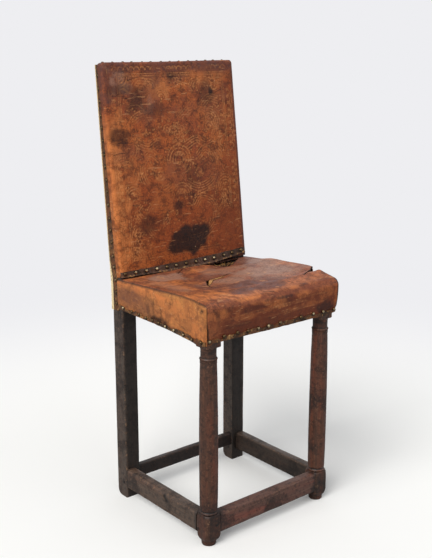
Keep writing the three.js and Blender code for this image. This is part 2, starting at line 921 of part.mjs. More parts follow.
function backBaseStrip() {
  const low = backCoverRise + baseStripRise;
  const high = low + baseStripWidth;
  const wide = halfWidth - stripInset;
  const room = box(-wide, wide, low, high, 0, backLift + backCrown + stripThickness + overrun);
  const layer = coat(backForm, -(clearance + stripThickness), -clearance).intersect(room);
  const height = (low + high) / 2;
  const face = -(backLift + clearance + stripThickness);
  const from = new THREE.Vector3(-wide, face, height);
  const to = new THREE.Vector3(wide, face, height);
  return nailRow(standUp(layer), from, to, axisY.clone().negate(), sideNailSpacing);
}

function backTopStrip() {
  const low = backLength + clearance;
  const near = flapDepth + clearance;
  const end = halfWidth - stileCornerRadius;
  const strip = box(-end, end, near, stileTopDepth, low, low + stripThickness);
  const middle = (near + stileTopDepth) / 2;
  const from = new THREE.Vector3(-end, middle, low + stripThickness);
  const to = new THREE.Vector3(end, middle, low + stripThickness);
  return nailRow(strip, from, to, axisZ, topNailSpacing);
}

// Depth of a stile behind its front face at a height up that face, above the bend.
function stileDepthAt(rise) {
  const bendDepth = legDepth * Math.cos(backRake);
  const bendRise = legDepth * Math.sin(backRake);
  const share = (rise - bendRise) / (backLength - bendRise);
  return THREE.MathUtils.lerp(bendDepth, stileTopDepth, share);
}

// The strip down the outer face of a stile, behind the turned-over leather, to the seat's lower edge.
function backSideStrip(side) {
  const near = flapDepth + clearance;
  const top = backLength - stileCornerRadius;
  const topDepth = stileDepthAt(top);
  const shape = new THREE.Shape();
  shape.moveTo(legFront + near, seatCoverBottom);
  shape.lineTo(frameDepth, seatCoverBottom);
  shape.lineTo(frameDepth, bendHeight);
  shape.lineTo(...leaningPoint(topDepth, top));
  shape.lineTo(...leaningPoint(near, top));
  shape.lineTo(...leaningPoint(near, 0));
  const inner = side * (halfWidth + clearance);
  const outer = side * (halfWidth + clearance + stripThickness);
  const strip = drawnOut(shape, "x", Math.min(inner, outer), Math.max(inner, outer));
  const normal = axisX.clone().multiplyScalar(side);
  const foot = [(legFront + near + frameDepth) / 2, seatCoverBottom];
  const bend = [(legFront + near + frameDepth) / 2, bendHeight];
  const head = leaningPoint((near + topDepth) / 2, top);
  const [low, middle, high] = [foot, bend, head].map((at) => new THREE.Vector3(outer, ...at));
  const lowerRow = nailRow(strip, low, middle, normal, sideNailSpacing);
  return nailRow(lowerRow, middle, high, normal, sideNailSpacing);
}

// One hide over the whole rear of the back, from the seat's lower edge to the top.
function backRearLeather() {
  const [topY, topZ] = leaningPoint(stileTopDepth, backLength);
  const tilt = Math.atan2(topY - frameDepth, topZ - bendHeight);
  const step = (gap) => [gap * Math.cos(tilt), -gap * Math.sin(tilt)];
  const near = step(clearance);
  const far = step(clearance + rearLeather);
  const face = frameDepth + clearance;
  const shape = new THREE.Shape();
  shape.moveTo(face, seatCoverBottom);
  shape.lineTo(face + rearLeather, seatCoverBottom);
  shape.lineTo(face + rearLeather, bendHeight + far[1] / 2);
  shape.lineTo(topY + far[0], topZ + far[1]);
  shape.lineTo(topY + near[0], topZ + near[1]);
  shape.lineTo(face, bendHeight + near[1] / 2);
  return drawnOut(shape, "x", -halfWidth - rearOverhang, halfWidth + rearOverhang);
}

const chair = new THREE.Group();
const back = new THREE.Group();
back.applyMatrix4(leaning);
chair.add(back);

const lowBars = frameBars();
const highBars = backBars();
const stileCutters = backCutters(highBars);
for (const [word, side] of [
  ["left", -1],
  ["right", 1],
]) {
  const frontPlace = new THREE.Vector3(side * (halfWidth - blockSize / 2), blockSize / 2, 0);
  addPiece(chair, `front_leg_${word}`, "wood", frontLeg(frontPlace, lowBars), frontPlace);
  const rearPlace = new THREE.Vector3(side * (halfWidth - legWidth / 2), legFront, 0);
  const rear = rearLeg(side, lowBars, stileCutters);
  addPiece(chair, `rear_leg_${word}`, "darkWood", rear, rearPlace);
  addPiece(chair, `seat_${word}_leather`, "leather", seatSideLeather(side));
  addPiece(chair, `seat_${word}_strip`, "strip", seatSideStrip(side));
  addPiece(chair, `back_${word}_strip`, "strip", backSideStrip(side));
}
addBars(chair, lowBars, "wood");
addBars(back, highBars, "wood");
seatStraps(chair);
addPiece(chair, "seat_sackcloth", "cloth", seatCloth());
addPiece(chair, "seat_stuffing", "cloth", seatStuffing());
addPiece(chair, "seat_top_leather", "leather", seatTopLeather());
addPiece(chair, "seat_front_strip", "strip", seatFrontStrip());
addPiece(back, "back_linen", "cloth", backLinen());
addPiece(back, "back_padding", "cloth", backPadding());
addPiece(back, "back_front_leather", "leather", backFrontLeather());
addPiece(back, "back_base_strip", "strip", backBaseStrip());
addPiece(back, "back_top_strip", "strip", backTopStrip());
addPiece(chair, "back_rear_leather", "leather", backRearLeather());

// The chair is moved so that the origin lies under its middle.
const bounds = new THREE.Box3().setFromObject(chair);
const middle = bounds.getCenter(new THREE.Vector3());
chair.position.set(-middle.x, -middle.y, -bounds.min.z);

export default chair;
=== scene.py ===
"""The looks of a tall side chair with a nailed leather seat and back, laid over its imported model.

Lengths are millimetres in the model's own frame until a mesh is made: +Z up, the chair faces -Y.
The back leans: a place on it is given as across, depth into the stile and rise up its front face.
The colours of finishes are three numbers from 0 to 255, as they show on a screen.
"""

import math

import bpy
import numpy as np
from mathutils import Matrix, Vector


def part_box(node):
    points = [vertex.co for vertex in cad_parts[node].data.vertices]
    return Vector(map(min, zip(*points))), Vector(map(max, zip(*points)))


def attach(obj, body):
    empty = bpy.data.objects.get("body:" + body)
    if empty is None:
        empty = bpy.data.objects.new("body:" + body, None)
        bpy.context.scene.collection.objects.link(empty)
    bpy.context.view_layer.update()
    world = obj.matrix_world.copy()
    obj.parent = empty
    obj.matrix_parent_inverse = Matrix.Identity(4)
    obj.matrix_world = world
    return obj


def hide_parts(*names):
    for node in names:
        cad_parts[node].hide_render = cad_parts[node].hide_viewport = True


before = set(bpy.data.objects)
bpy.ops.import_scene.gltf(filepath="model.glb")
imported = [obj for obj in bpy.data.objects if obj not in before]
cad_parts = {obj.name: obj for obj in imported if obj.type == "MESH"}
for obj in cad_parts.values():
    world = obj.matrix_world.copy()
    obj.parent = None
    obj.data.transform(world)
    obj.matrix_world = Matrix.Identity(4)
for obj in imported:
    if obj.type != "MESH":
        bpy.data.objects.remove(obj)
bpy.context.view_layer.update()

MM = 0.001
QUARTER = math.pi / 2  # of a turn, in radians
TURN = 2 * math.pi
BACKDROP = (238, 238, 241)  # pale grey behind the chair
SIDES = (("left", -1), ("right", 1))


def span(node):
    """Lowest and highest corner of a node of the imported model, in millimetres."""
    low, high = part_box(node)
    return np.array(low) / MM, np.array(high) / MM


# Frame
HALF = 200.0  # outer faces of the legs
BLOCK = 43.0  # square blocks of the front legs
LEG_WIDTH = 41.0
LEG_DEPTH = 41.0
HEEL = 15.0  # radius of the rear feet's worn rear corner
FRONT = span("front_leg_left")[0][1]
LEG_FRONT = span("rear_leg_left")[0][1]
REAR = LEG_FRONT + LEG_DEPTH
BEND = 565.0  # the stiles lean back above this height
RAKE = math.radians(6.8)
BACK_LENGTH = 535.0
STILE_TOP_DEPTH = 22.0

# Seat cover
LEATHER = 3.0
COVER_HALF = 203.3
COVER_FRONT = FRONT - 3.3
COVER_LOW = 502.0
COVER_TOP = 586.0
BULGE = 4.0
WALL_TOP = 565.0  # the cover stands out furthest above this height
SIDE_ROLL = 9.0
SEAM_DROP = SIDE_ROLL * (1 - math.cos(math.pi / 4))
SEAM_HALF = 205.0  # where the tables across the seat end
CORNER_PUSH = 4.0
SEAT_HOLLOW = 9.0
FRONT_FALL = 5.0  # how far the seat falls towards its front roll
FALL_REACH = 60.0  # and over what depth
REAR_EDGE = LEG_FRONT + 9.4  # rear edge of the seat cover between the stiles
STILE_EDGE = LEG_FRONT - 0.6  # and in front of them
WEBBING_LEVEL = 569.6
SACKING_LEVEL = 572.9
STUFFING_FOOT = 574.4
STUFFING_MARGIN = 3.4  # between the stuffing or padding and the outside of its cover

# Back cover
BACK_LIFT = 6.0
BACK_CROWN = 5.0
CROWN_START = 25.0
BACK_ROLL = 7.0
BACK_CORNER = 9.0
COVER_RISE = 24.5
COVER_TOP_RISE = BACK_LENGTH + 3.3
FLAP_DEPTH = 13.0
EDGE_REACH = 22.0  # along the leather, from its turned edge to where its corners start
REAR_TOP = 1093.5
REAR_HIDE = 2.3
REAR_TURN = 1.3  # radius of its turned edges
SIDE_STRIP_TOP = 1087.0
STRIP_OFF = 1.9  # how far the seat's strips stand off its walls
NAIL_OFF = 3.1  # and the feet of their nails off its outline


# Numbers


def joined(*parts):
    """Arrays and numbers set side by side along a new last axis."""
    return np.stack(np.broadcast_arrays(*parts), axis=-1)


def unit(vectors):
    """Each vector divided by its own length."""
    return vectors / np.maximum(np.linalg.norm(vectors, axis=-1, keepdims=True), 1e-9)


def clamp(values, low=0.0, high=1.0):
    """Values held between a lowest and a highest one."""
    return np.minimum(np.maximum(values, low), high)


def smooth(values):
    """0 below 0, 1 above 1, and between them three squares less two cubes."""
    share = clamp(values)
    return share * share * (3 - 2 * share)


def lerp(a, b, share):
    """A share of the way from a to b."""
    return a + (b - a) * share


def through(values, points):
    """A line through a few chosen (place, value) points, read at values."""
    return np.interp(values, *np.array(points, float).T)


def flowing(values, points):
    """A smooth line through a few chosen (place, value) points: cubics whose slope at each point is
    that between its neighbours."""
    xs, ys = np.array(sorted(points), float).T
    slopes = np.gradient(ys, xs)
    values = clamp(values, xs[0], xs[-1])
    k = np.minimum(np.searchsorted(xs, values, side="right") - 1, len(xs) - 2)
    step = xs[k + 1] - xs[k]
    t = (values - xs[k]) / step
    ends = ys[k] * (1 - t) ** 2 * (1 + 2 * t) + ys[k + 1] * t * t * (3 - 2 * t)
    return ends + step * (slopes[k] * t * (1 - t) ** 2 - slopes[k + 1] * t * t * (1 - t))


def cell_value(cells, seed):
    """A fixed number from 0 to 1 for each cell: its three indices times large odd numbers, with
    their bits folded together."""
    x, y, z = np.moveaxis(cells, -1, 0)
    mixed = (x * 73856093) ^ (y * 19349663) ^ (z * 83492791) ^ (seed * 2654435761)
    mixed = ((mixed ^ (mixed >> 13)) * 1274126177) & 0x7FFFFFFF
    return ((mixed ^ (mixed >> 16)) & 0xFFFF) / 65535.0


def cloudy(points, size, seed, octaves=3):
    """Noise from -1 to 1 with lumps of a size: fixed values at cell corners, blended smoothly, and
    added up over octaves that each have half the size and weight of the one before."""
    total = np.zeros(points.shape[:-1])
    for octave in range(octaves):
        scaled = points * (2**octave / size) + 17.3 * octave
        base = np.floor(scaled).astype(np.int64)
        part = smooth(scaled - base)
        value = np.zeros(points.shape[:-1])
        for corner in range(8):
            step = np.array([corner & 1, corner >> 1 & 1, corner >> 2 & 1])
            share = np.prod(np.where(step == 1, part, 1 - part), axis=-1)
            value += share * cell_value(base + step, seed + octave)
        total += (2 * value - 1) / 2**octave
    return total / (2 - 2 / 2**octaves)


def spread(u, v, blots, seed, ragged, sharp=1.0):
    """How much each place lies in a few blots (u, v, half width, half height, strength): 1 at the
    middle, falling off over a border that noise makes ragged and `sharp` makes narrow."""
    rough = cloudy(joined(u, v, 0), 28, seed, 4) * ragged * 2
    total = np.zeros(u.shape)
    for at_u, at_v, wide, high, strength in blots:
        reach = np.hypot((u - at_u) / wide, (v - at_v) / high)
        total = np.maximum(total, strength * smooth((1 - reach + rough) * sharp + 0.5))
    return total


def bumps(u, v, hills):
    """Sum of a few bell-shaped hills (u, v, reach along u, reach along v, height)."""
    total = np.zeros(np.broadcast(u, v).shape)
    for at_u, at_v, wide, long, high in hills:
        total = total + high * np.exp(-(((u - at_u) / wide) ** 2) - ((v - at_v) / long) ** 2)
    return total


def scratched(u, v, lines, width):
    """1 on a few curved scratches (u, v, length, slope, bow) that run mostly along u."""
    total = np.zeros(u.shape)
    for at_u, at_v, length, slope, bow in lines:
        share = (u - at_u) / length
        away = v - at_v - slope * (u - at_u) - bow * 4 * share * (1 - share)
        inside = smooth(share * 8) * smooth((1 - share) * 8)
        total = np.maximum(total, inside * np.exp(-((away / width) ** 2)))
    return total


# Meshes


def grid_faces(rows, columns, around=False, start=0):
    """Quads between neighbouring points of a grid; with `around` the last column joins the first."""
    row = np.arange(rows - 1)[:, None] * columns
    column = np.arange(columns if around else columns - 1)[None, :]
    following = (column + 1) % columns
    corners = joined(row + column, row + following, row + columns + following, row + columns + column)
    return start + corners.reshape(-1, 4)


def border(rows, columns):
    """Indices of a grid's outermost points, once round."""
    index = np.arange(rows * columns).reshape(rows, columns)
    return np.concatenate([index[0, :-1], index[:-1, -1], index[-1, :0:-1], index[:0:-1, 0]])


def grid_normals(points, outward):
    """Unit normals of a grid of points: the cross product of its two directions' slopes, all turned
    so that the middle one points to the outward side."""
    normals = unit(np.cross(np.gradient(points, axis=1), np.gradient(points, axis=0)))
    rows, columns = points.shape[:2]
    return normals * np.sign(normals[rows // 2, columns // 2] @ np.array(outward))


def add_object(name, data):
    """A new object in the scene, at the origin."""
    made = bpy.data.objects.new(name, data)
    bpy.context.scene.collection.objects.link(made)
    return made


def new_piece(name, points, faces, crease=38):
    """A mesh object from points in millimetres and arrays of faces, turned so that its faces point
    outwards: the volumes between the origin and its triangles add up to more than nothing."""
    mesh = bpy.data.meshes.new(name)
    points = np.asarray(points, float).reshape(-1, 3)
    corners = np.concatenate([part.reshape(-1) for part in faces]).astype(np.int32)
    sizes = np.concatenate([np.full(len(part), part.shape[1]) for part in faces])
    starts = np.concatenate([[0], np.cumsum(sizes)[:-1]]).astype(np.int32)
    mesh.vertices.add(len(points))
    mesh.vertices.foreach_set("co", (points * MM).ravel())
    mesh.loops.add(len(corners))
    mesh.loops.foreach_set("vertex_index", corners)
    mesh.polygons.add(len(starts))
    mesh.polygons.foreach_set("loop_start", starts)
    mesh.update(calc_edges=True)
    mesh.validate()
    mesh.calc_loop_triangles()
    triangles = np.empty(len(mesh.loop_triangles) * 3, np.int32)
    mesh.loop_triangles.foreach_get("vertices", triangles)
    a, b, c = points[triangles].reshape(-1, 3, 3).transpose(1, 0, 2)
    if np.einsum("ij,ij->i", a, np.cross(b, c)).sum() < 0:
        mesh.flip_normals()
    smooth_faces(mesh, crease)
    return add_object(name, mesh)


def smooth_faces(mesh, crease):
    """Smooth shading, with sharp edges where faces turn by more than the crease, in degrees."""
    mesh.polygons.foreach_set("use_smooth", np.ones(len(mesh.polygons), bool))
    mesh.set_sharp_from_angle(angle=math.radians(crease))


def shell(name, outer, inner, crease=38):
    """A closed sheet between two grids of points. The inner grid may be coarser: each step of its
    border then meets several of the outer one's in one face of the rim."""
    rows, columns = outer.shape[:2]
    inner_rows, inner_columns = inner.shape[:2]
    stride = (rows - 1) // (inner_rows - 1)
    start = rows * columns
    inside = grid_faces(inner_rows, inner_columns, start=start)[:, ::-1]
    out_ring = border(rows, columns)
    in_ring = start + border(inner_rows, inner_columns)
    steps = [np.roll(out_ring, -k)[::stride] for k in range(stride, -1, -1)]
    rim = joined(*steps, in_ring, np.roll(in_ring, -1))
    points = np.concatenate([outer.reshape(-1, 3), inner.reshape(-1, 3)])
    return new_piece(name, points, [grid_faces(rows, columns), inside, rim], crease)


def sheet_grid(rows, columns, stride=1):
    """Shares from 0 to 1 along and across a grid whose numbers of steps the stride divides."""
    rows = (rows - 1) // stride * stride + 1
    columns = (columns - 1) // stride * stride + 1
    return np.meshgrid(np.linspace(0, 1, rows), np.linspace(0, 1, columns), indexing="ij")


def rings(name, points, crease=38):
    """Closed bodies, one or many, each through its own rings of points and flat at each end."""
    rows, columns = points.shape[-3:-1]
    last = (rows - 1) * columns
    starts = range(0, points.size // 3, rows * columns)
    sides = [grid_faces(rows, columns, around=True, start=start) for start in starts]
    around = np.arange(columns)
    ends = [start + np.stack([around[::-1], last + around]) for start in starts]
    return new_piece(name, points, [np.concatenate(sides), np.concatenate(ends)], crease)


def places(piece):
    """The points of a piece, in millimetres."""
    co = np.empty(len(piece.data.vertices) * 3)
    piece.data.vertices.foreach_get("co", co)
    return co.reshape(-1, 3) / MM


def paint(piece, **masks):
    """Keeps one number a point under each name, for the material to read."""
    for name, values in masks.items():
        layer = piece.data.attributes.new(name, "FLOAT", "POINT")
        layer.data.foreach_set("value", np.asarray(values, np.float32).ravel())


def slit(line, low, high, seed):
    """A blade that follows a line of (x, y, width) points between two heights: at each of its
    stations two corners lie half the width to either side, moved a little by noise."""
    x, y, width = np.array(line, float).T
    length = np.concatenate([[0], np.cumsum(np.hypot(np.diff(x), np.diff(y)))])
    at = np.linspace(0, length[-1], max(int(length[-1] / 3), 4))
    x, y, width = (np.interp(at, length, part) for part in (x, y, width))
    along = joined(np.gradient(x), np.gradient(y))
    along /= np.linalg.norm(along, axis=-1, keepdims=True)
    beside = joined(-along[:, 1], along[:, 0])
    jagged = [cloudy(joined(x, y, seed * 10.0) + shift, 7, seed, 2) for shift in (0, 50)]
    reach = np.maximum(width, 0.5)
    left = joined(x, y) + beside * (reach * (0.5 + 0.35 * jagged[0]))[:, None]
    right = joined(x, y) - beside * (reach * (0.5 + 0.35 * jagged[1]))[:, None]
    corners = [(left, low), (right, low), (right, high), (left, high)]
    return rings("blade", np.stack([joined(*side.T, height) for side, height in corners], axis=1))


def cut(piece, blades):
    """Takes blades out of a piece and keeps what is left as its mesh."""
    for blade in blades:
        tool = piece.modifiers.new("cut", "BOOLEAN")
        tool.operation = "DIFFERENCE"
        tool.solver = "MANIFOLD"
        tool.object = blade
    bpy.context.view_layer.update()
    graph = bpy.context.evaluated_depsgraph_get()
    mesh = bpy.data.meshes.new_from_object(piece.evaluated_get(graph))
    piece.modifiers.clear()
    whole = piece.data
    piece.data = mesh
    bpy.data.meshes.remove(whole)
    mesh.name = piece.name
    for blade in blades:
        bpy.data.meshes.remove(blade.data)
    smooth_faces(mesh, 38)


def refinish(node, finish):
    """Gives a node of the model that keeps its shape a better finish."""
    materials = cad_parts[node].data.materials
    for index in range(len(materials)):
        materials[index] = finish


def dress(piece, slot, finish, *nodes, **masks):
    """Gives a piece its masks and finish, sets it on the chair and lets it stand for nodes. The slot is
    not used.
    """
    paint(piece, **masks)
    piece.data.materials.clear()
    piece.data.materials.append(finish)
    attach(piece, "root")
    if nodes:
        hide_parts(*nodes)


# Finishes


def srgb(red, green, blue):
    """A colour as it shows on a screen, as the numbers that light works with."""
    shown = np.array([red, green, blue]) / 255
    light = np.where(shown <= 0.04045, shown / 12.92, ((shown + 0.055) / 1.055) ** 2.4)
    return (*light.tolist(), 1.0)


def add_node(tree, kind, inputs=None, **settings):
    """A shader node whose inputs are set to numbers or joined to other nodes' outputs."""
    made = tree.nodes.new("ShaderNode" + kind)
    for key, value in settings.items():
        setattr(made, key, value)
    for key, value in (inputs or {}).items():
        feed(tree, made.inputs[key], value)
    return made


def feed(tree, socket, value):
    """Joins another node's output to an input, or sets the input to a number."""
    if isinstance(value, bpy.types.NodeSocket):
        tree.links.new(value, socket)
    else:
        socket.default_value = value


class Finish:
    """A material whose colour, roughness and relief are built up layer by layer."""

    def __init__(self, name, colour, roughness, specular=0.5):
        self.material = bpy.data.materials.new(name)
        self.material.use_nodes = True
        self.tree = self.material.node_tree
        self.shader = self.tree.nodes["Principled BSDF"]
        self.shader.inputs["Specular IOR Level"].default_value = specular
        self.place = self.node("TexCoord").outputs["Object"]
        self.colour = srgb(*colour)
        self.relief = None
        self.rough = roughness

    def node(self, kind, inputs=None, **settings):
        """A shader node of this material."""
        return add_node(self.tree, kind, inputs, **settings)

    def stretched(self, scale, turn=(0, 0, 0)):
        """Object places scaled along each axis and turned, so that a pattern on them has a grain."""
        inputs = {"Vector": self.place, "Scale": scale, "Rotation": turn}
        return self.node("Mapping", inputs).outputs["Vector"]

    def noise(self, scale, detail=4, roughness=0.6, place=None, distortion=0.0):
        """Cloudy noise from 0 to 1, with about scale lumps to the metre."""
        inputs = {"Vector": place or self.place, "Scale": scale, "Detail": detail}
        inputs.update({"Roughness": roughness, "Distortion": distortion})
        return self.node("TexNoise", inputs).outputs["Fac"]

    def cells(self, scale, feature="F1", place=None):
        """Distance to the nearest of scattered points, or to the edge between their cells."""
        inputs = {"Vector": place or self.place, "Scale": scale}
        return self.node("TexVoronoi", inputs, feature=feature).outputs["Distance"]

    def warped(self, reach):
        """Object places pushed about by noise, so that cells on them have crooked edges."""
        push = self.node("TexNoise", {"Vector": self.place, "Scale": 35, "Detail": 2})
        inputs = {0: push.outputs["Color"], 1: (reach, reach, reach), 2: self.place}
        return self.node("VectorMath", inputs, operation="MULTIPLY_ADD").outputs[0]

    def between(self, value, low, high, start=0.0, end=1.0):
        """Runs smoothly from start to end as a value runs from low to high."""
        inputs = {"Value": value, "From Min": low, "From Max": high, "To Min": start, "To Max": end}
        return self.node("MapRange", inputs, interpolation_type="SMOOTHSTEP").outputs["Result"]

    def mask(self, name):
        """A mask painted on the piece."""
        return self.node("Attribute", attribute_name=name).outputs["Fac"]

    def times(self, a, b, operation="MULTIPLY"):
        """Two values multiplied, or put through another operation."""
        return self.node("Math", {0: a, 1: b}, operation=operation).outputs[0]

    def coat(self, colour, factor):
        """Lays a colour over what is there, by a factor that may vary."""
        inputs = {0: factor, 6: self.colour, 7: srgb(*colour)}
        self.colour = self.node("Mix", inputs, data_type="RGBA").outputs[2]

    def coats(self, *layers):
        """Coats whose factor runs with a value from low to high, times the mask if one is named."""
        for colour, mask, *run in layers:
            factor = self.between(*run)
            self.coat(colour, self.times(self.mask(mask), factor) if mask else factor)

    def raise_by(self, height, distance, strength):
        """Adds a relief of a height from 0 to 1 times a distance in metres."""
        inputs = {"Height": height, "Distance": distance, "Strength": strength}
        if self.relief is not None:
            inputs["Normal"] = self.relief
        self.relief = self.node("Bump", inputs).outputs["Normal"]

    def done(self):
        """Joins the layers to the shader and gives the material."""
        made = {"Base Color": self.colour, "Roughness": self.rough, "Normal": self.relief}
        for socket, value in made.items():
            if value is not None:
                feed(self.tree, self.shader.inputs[socket], value)
        return self.material


def leather_finish(name, light, middle, dark, grain=1.0, specular=0.2, specked=0.8):
    """Old cowhide: clouds of tan and brown, blotches, specks, scuffs, fine cracks and a pebbled
    grain, with deep red-brown, rubbed, mauve, stained and tooled parts by its masks, a painted pale
    sheen, and near-black lines of painted shade along seams, gaps and tears."""
    hide = Finish(name, middle, 0.52, specular)
    clouds = hide.noise(9, 5, 0.62, distortion=0.6)
    blotches = hide.noise(42, 6, 0.7, distortion=0.3)
    specks = hide.noise(190, 5, 0.75)
    scuffs = hide.noise(26, 4, 0.6, hide.stretched((1, 1, 7), (0.2, 0.1, 0.3)))
    streaks = hide.noise(14, 5, 0.7, hide.stretched((1, 1, 6), (0.3, -0.4, 0.5)))
    hide.coats(
        (light, None, clouds, 0.46, 0.66, 0, 0.8),
        (dark, None, blotches, 0.46, 0.62, 0, 0.85),
        (light, None, hide.noise(75, 5, 0.7), 0.54, 0.66, 0, 0.7),
        (dark, None, specks, 0.50, 0.62, 0, specked),
        (light, None, hide.noise(230, 4, 0.7), 0.56, 0.66, 0, 0.7),
        ((98, 38, 9), "deep", blotches, 0.3, 0.62, 0.92, 0.68),
        ((204, 122, 66), "worn", blotches, 0.36, 0.62, 1.0, 0.25),
        ((84, 52, 48), "plum", blotches, 0.3, 0.62, 1, 0.5),
        # Painted sheen: pale grey-mauve where the shine mask marks it.
        ((158, 122, 104), "shine", specks, 0.4, 0.65, 0.9, 0.45),
        ((52, 26, 18), "groove", specks, 0.40, 0.62, 0.62, 0.15),
        ((208, 138, 82), "tool", specks, 0.39, 0.6, 0.1, 0.85),
        ((25, 14, 13), "stain", specks, 0.35, 0.62, 1.0, 0.85),
        ((206, 146, 98), None, scuffs, 0.62, 0.68, 0, 0.45),
        ((50, 28, 22), None, streaks, 0.60, 0.68, 0, 0.5),
    )
    # Painted shade: near black along seams, in gaps and round tears, where the seam mask marks it.
    hide.coat((30, 18, 15), hide.times(hide.mask("seam"), 0.92))
    hide.coats(((240, 218, 172), "raw", specks, 0.35, 0.65, 1.0, 0.8))
    cracks = hide.between(hide.cells(70, "DISTANCE_TO_EDGE", hide.warped(0.012)), 0.0, 0.05, 1, 0)
    cracks = hide.times(cracks, hide.between(clouds, 0.44, 0.58))
    hide.coat((44, 24, 19), hide.times(cracks, 0.7 * specked))
    dots = hide.between(hide.cells(46), 0.035, 0.06, 1, 0)
    hide.coat((226, 190, 150), hide.times(dots, hide.between(hide.noise(7, 2), 0.5, 0.6, 0, 0.6)))
    hide.rough = hide.between(blotches, 0.35, 0.7, 0.42, 0.6)
    hide.raise_by(hide.noise(28, 4, 0.6), 0.0016, 0.5)
    hide.raise_by(hide.noise(160, 3, 0.6), 0.0006, 0.7 * grain)
    hide.raise_by(hide.cells(620), 0.00025, 0.6 * grain)
    hide.raise_by(cracks, 0.0004, -0.5)
    return hide.done()


def wood_finish(name, base, streak, red, along, roughness=0.48):
    """Dark old hardwood: grain, pores and red wear stretched along the piece, a mottled skin of soil and
    old wax, and near black where a mask lays soiling, dark joints and painted shade."""
    wood = Finish(name, base, roughness, 0.36)
    fine = np.where(np.array(list("xyz")) == along, 9.0, 260.0)
    broad = np.where(np.array(list("xyz")) == along, 2.4, 34.0)
    grain = wood.noise(1, 6, 0.65, wood.stretched(fine))
    bands = wood.noise(1, 5, 0.6, wood.stretched(broad), 0.4)
    stains = wood.noise(16, 5, 0.65)
    pores = wood.between(wood.noise(1, 3, 0.5, wood.stretched(fine * 2.2)), 0.60, 0.68)
    wood.coats(
        (red, None, bands, 0.45, 0.68, 0, 0.75),
        (streak, None, grain, 0.48, 0.70, 0, 0.6),
        ((22, 16, 14), None, stains, 0.47, 0.62, 0, 0.78),
        ((20, 15, 13), None, wood.noise(105, 5, 0.7, distortion=0.4), 0.50, 0.62, 0, 0.6),
        ((118, 82, 62), None, wood.noise(190, 4, 0.7), 0.55, 0.66, 0, 0.5),
        ((144, 110, 84), "wear", wood.noise(70, 6, 0.75), 0.52, 0.62, 0, 0.8),
    )
    # Near black by one mask: soiling in grooves, dark joints, knots and end grain, and painted shade on
    # faces under the seat.
    wood.coat((13, 10, 9), wood.times(wood.mask("dirt"), 0.9))
    wood.coat((16, 11, 10), wood.times(pores, 0.55))
    wood.rough = wood.between(stains, 0.35, 0.65, roughness - 0.06, roughness + 0.16)
    wood.raise_by(grain, 0.0005, 0.5)
    wood.raise_by(pores, 0.0003, -0.5)
    wood.raise_by(wood.noise(45, 3, 0.5), 0.0008, 0.4)
    return wood.done()


def brass_finish(name):
    """Domed brass nails: tarnished brown at the rim, rubbed brighter on the crown."""
    brass = Finish(name, (96, 76, 52), 0.38)
    brass.shader.inputs["Metallic"].default_value = 1.0
    crown = brass.times(brass.mask("crown"), brass.mask("bright"))
    brass.coats(
        ((210, 192, 156), None, crown, 0.25, 0.8, 0, 0.9),
        ((46, 36, 28), None, brass.noise(240, 4, 0.7), 0.50, 0.66, 0, 0.7),
    )
    brass.rough = brass.between(brass.noise(300, 3), 0.35, 0.65, 0.26, 0.5)
    brass.raise_by(brass.noise(420, 3), 0.0003, 0.5)
    return brass.done()


def weave_finish(name, light, dark, thread):
    """Plain weave on the piece's own thread coordinates: two crossed waves, over and under."""
    cloth = Finish(name, light, 0.9, 0.15)
    fuzz = cloth.noise(600, 3, 0.7)
    waves = [cloth.times(cloth.times(cloth.mask(way), thread), 0.0, "SINE") for way in ("warp", "weft")]
    cross = cloth.times(*waves)
    cloth.coats(
        (dark, None, cross, -0.5, 0.6, 0.55, 0),
        (dark, None, cloth.noise(30, 5, 0.7), 0.48, 0.68, 0, 0.7),
        ((226, 205, 165), None, fuzz, 0.55, 0.7, 0, 0.4),
    )
    cloth.raise_by(cross, 0.0006, 0.7)
    cloth.raise_by(fuzz, 0.0003, 0.5)
    return cloth.done()


def stuffing_finish(name):
    """Matted hair and straw: brown fibre with paler tufts, all rough, and painted black shade deep in
    the tears.
    """
    hair = Finish(name, (74, 52, 36), 0.95, 0.1)
    strands = hair.noise(30, 6, 0.75, hair.stretched((1, 6, 3), (0, 0, 0.7)), 2.0)
    hair.coats(
        ((158, 122, 78), None, strands, 0.50, 0.66),
        ((34, 24, 18), None, hair.noise(55, 5, 0.7), 0.52, 0.66, 0, 0.85),
    )
    # Painted shade: near black deep in the tears, where the mask marks it.
    hair.coat((12, 9, 7), hair.times(hair.mask("depths"), 0.93))
    hair.raise_by(strands, 0.003, 0.8)
    hair.raise_by(hair.noise(500, 3, 0.7), 0.0008, 0.8)
    return hair.done()


def strip_finish(name):
    """Torn edging: dark greenish brown hide, with tan where its face has gone and brown where it
    has kept the colour of the cover."""
    hide = Finish(name, (74, 55, 42), 0.62, 0.2)
    torn = hide.noise(75, 6, 0.7, distortion=0.8)
    hide.coats(
        ((40, 30, 23), None, hide.noise(120, 5, 0.7), 0.44, 0.62, 0, 0.85),
        ((118, 72, 42), "brown", hide.noise(60, 5, 0.7), 0.36, 0.56),
        ((104, 80, 72), "plum", torn, 0.40, 0.56),
        ((164, 118, 70), "torn", torn, 0.50, 0.60),
        ((208, 172, 118), "torn", torn, 0.60, 0.68),
    )
    # Near black by one mask: soiling over the strip and painted shade in rings round its nails.
    hide.coat((20, 15, 12), hide.times(hide.mask("dirt"), 0.8))
    hide.raise_by(torn, 0.001, 0.7)
    hide.raise_by(hide.noise(420, 3, 0.7), 0.0004, 0.7)
    return hide.done()


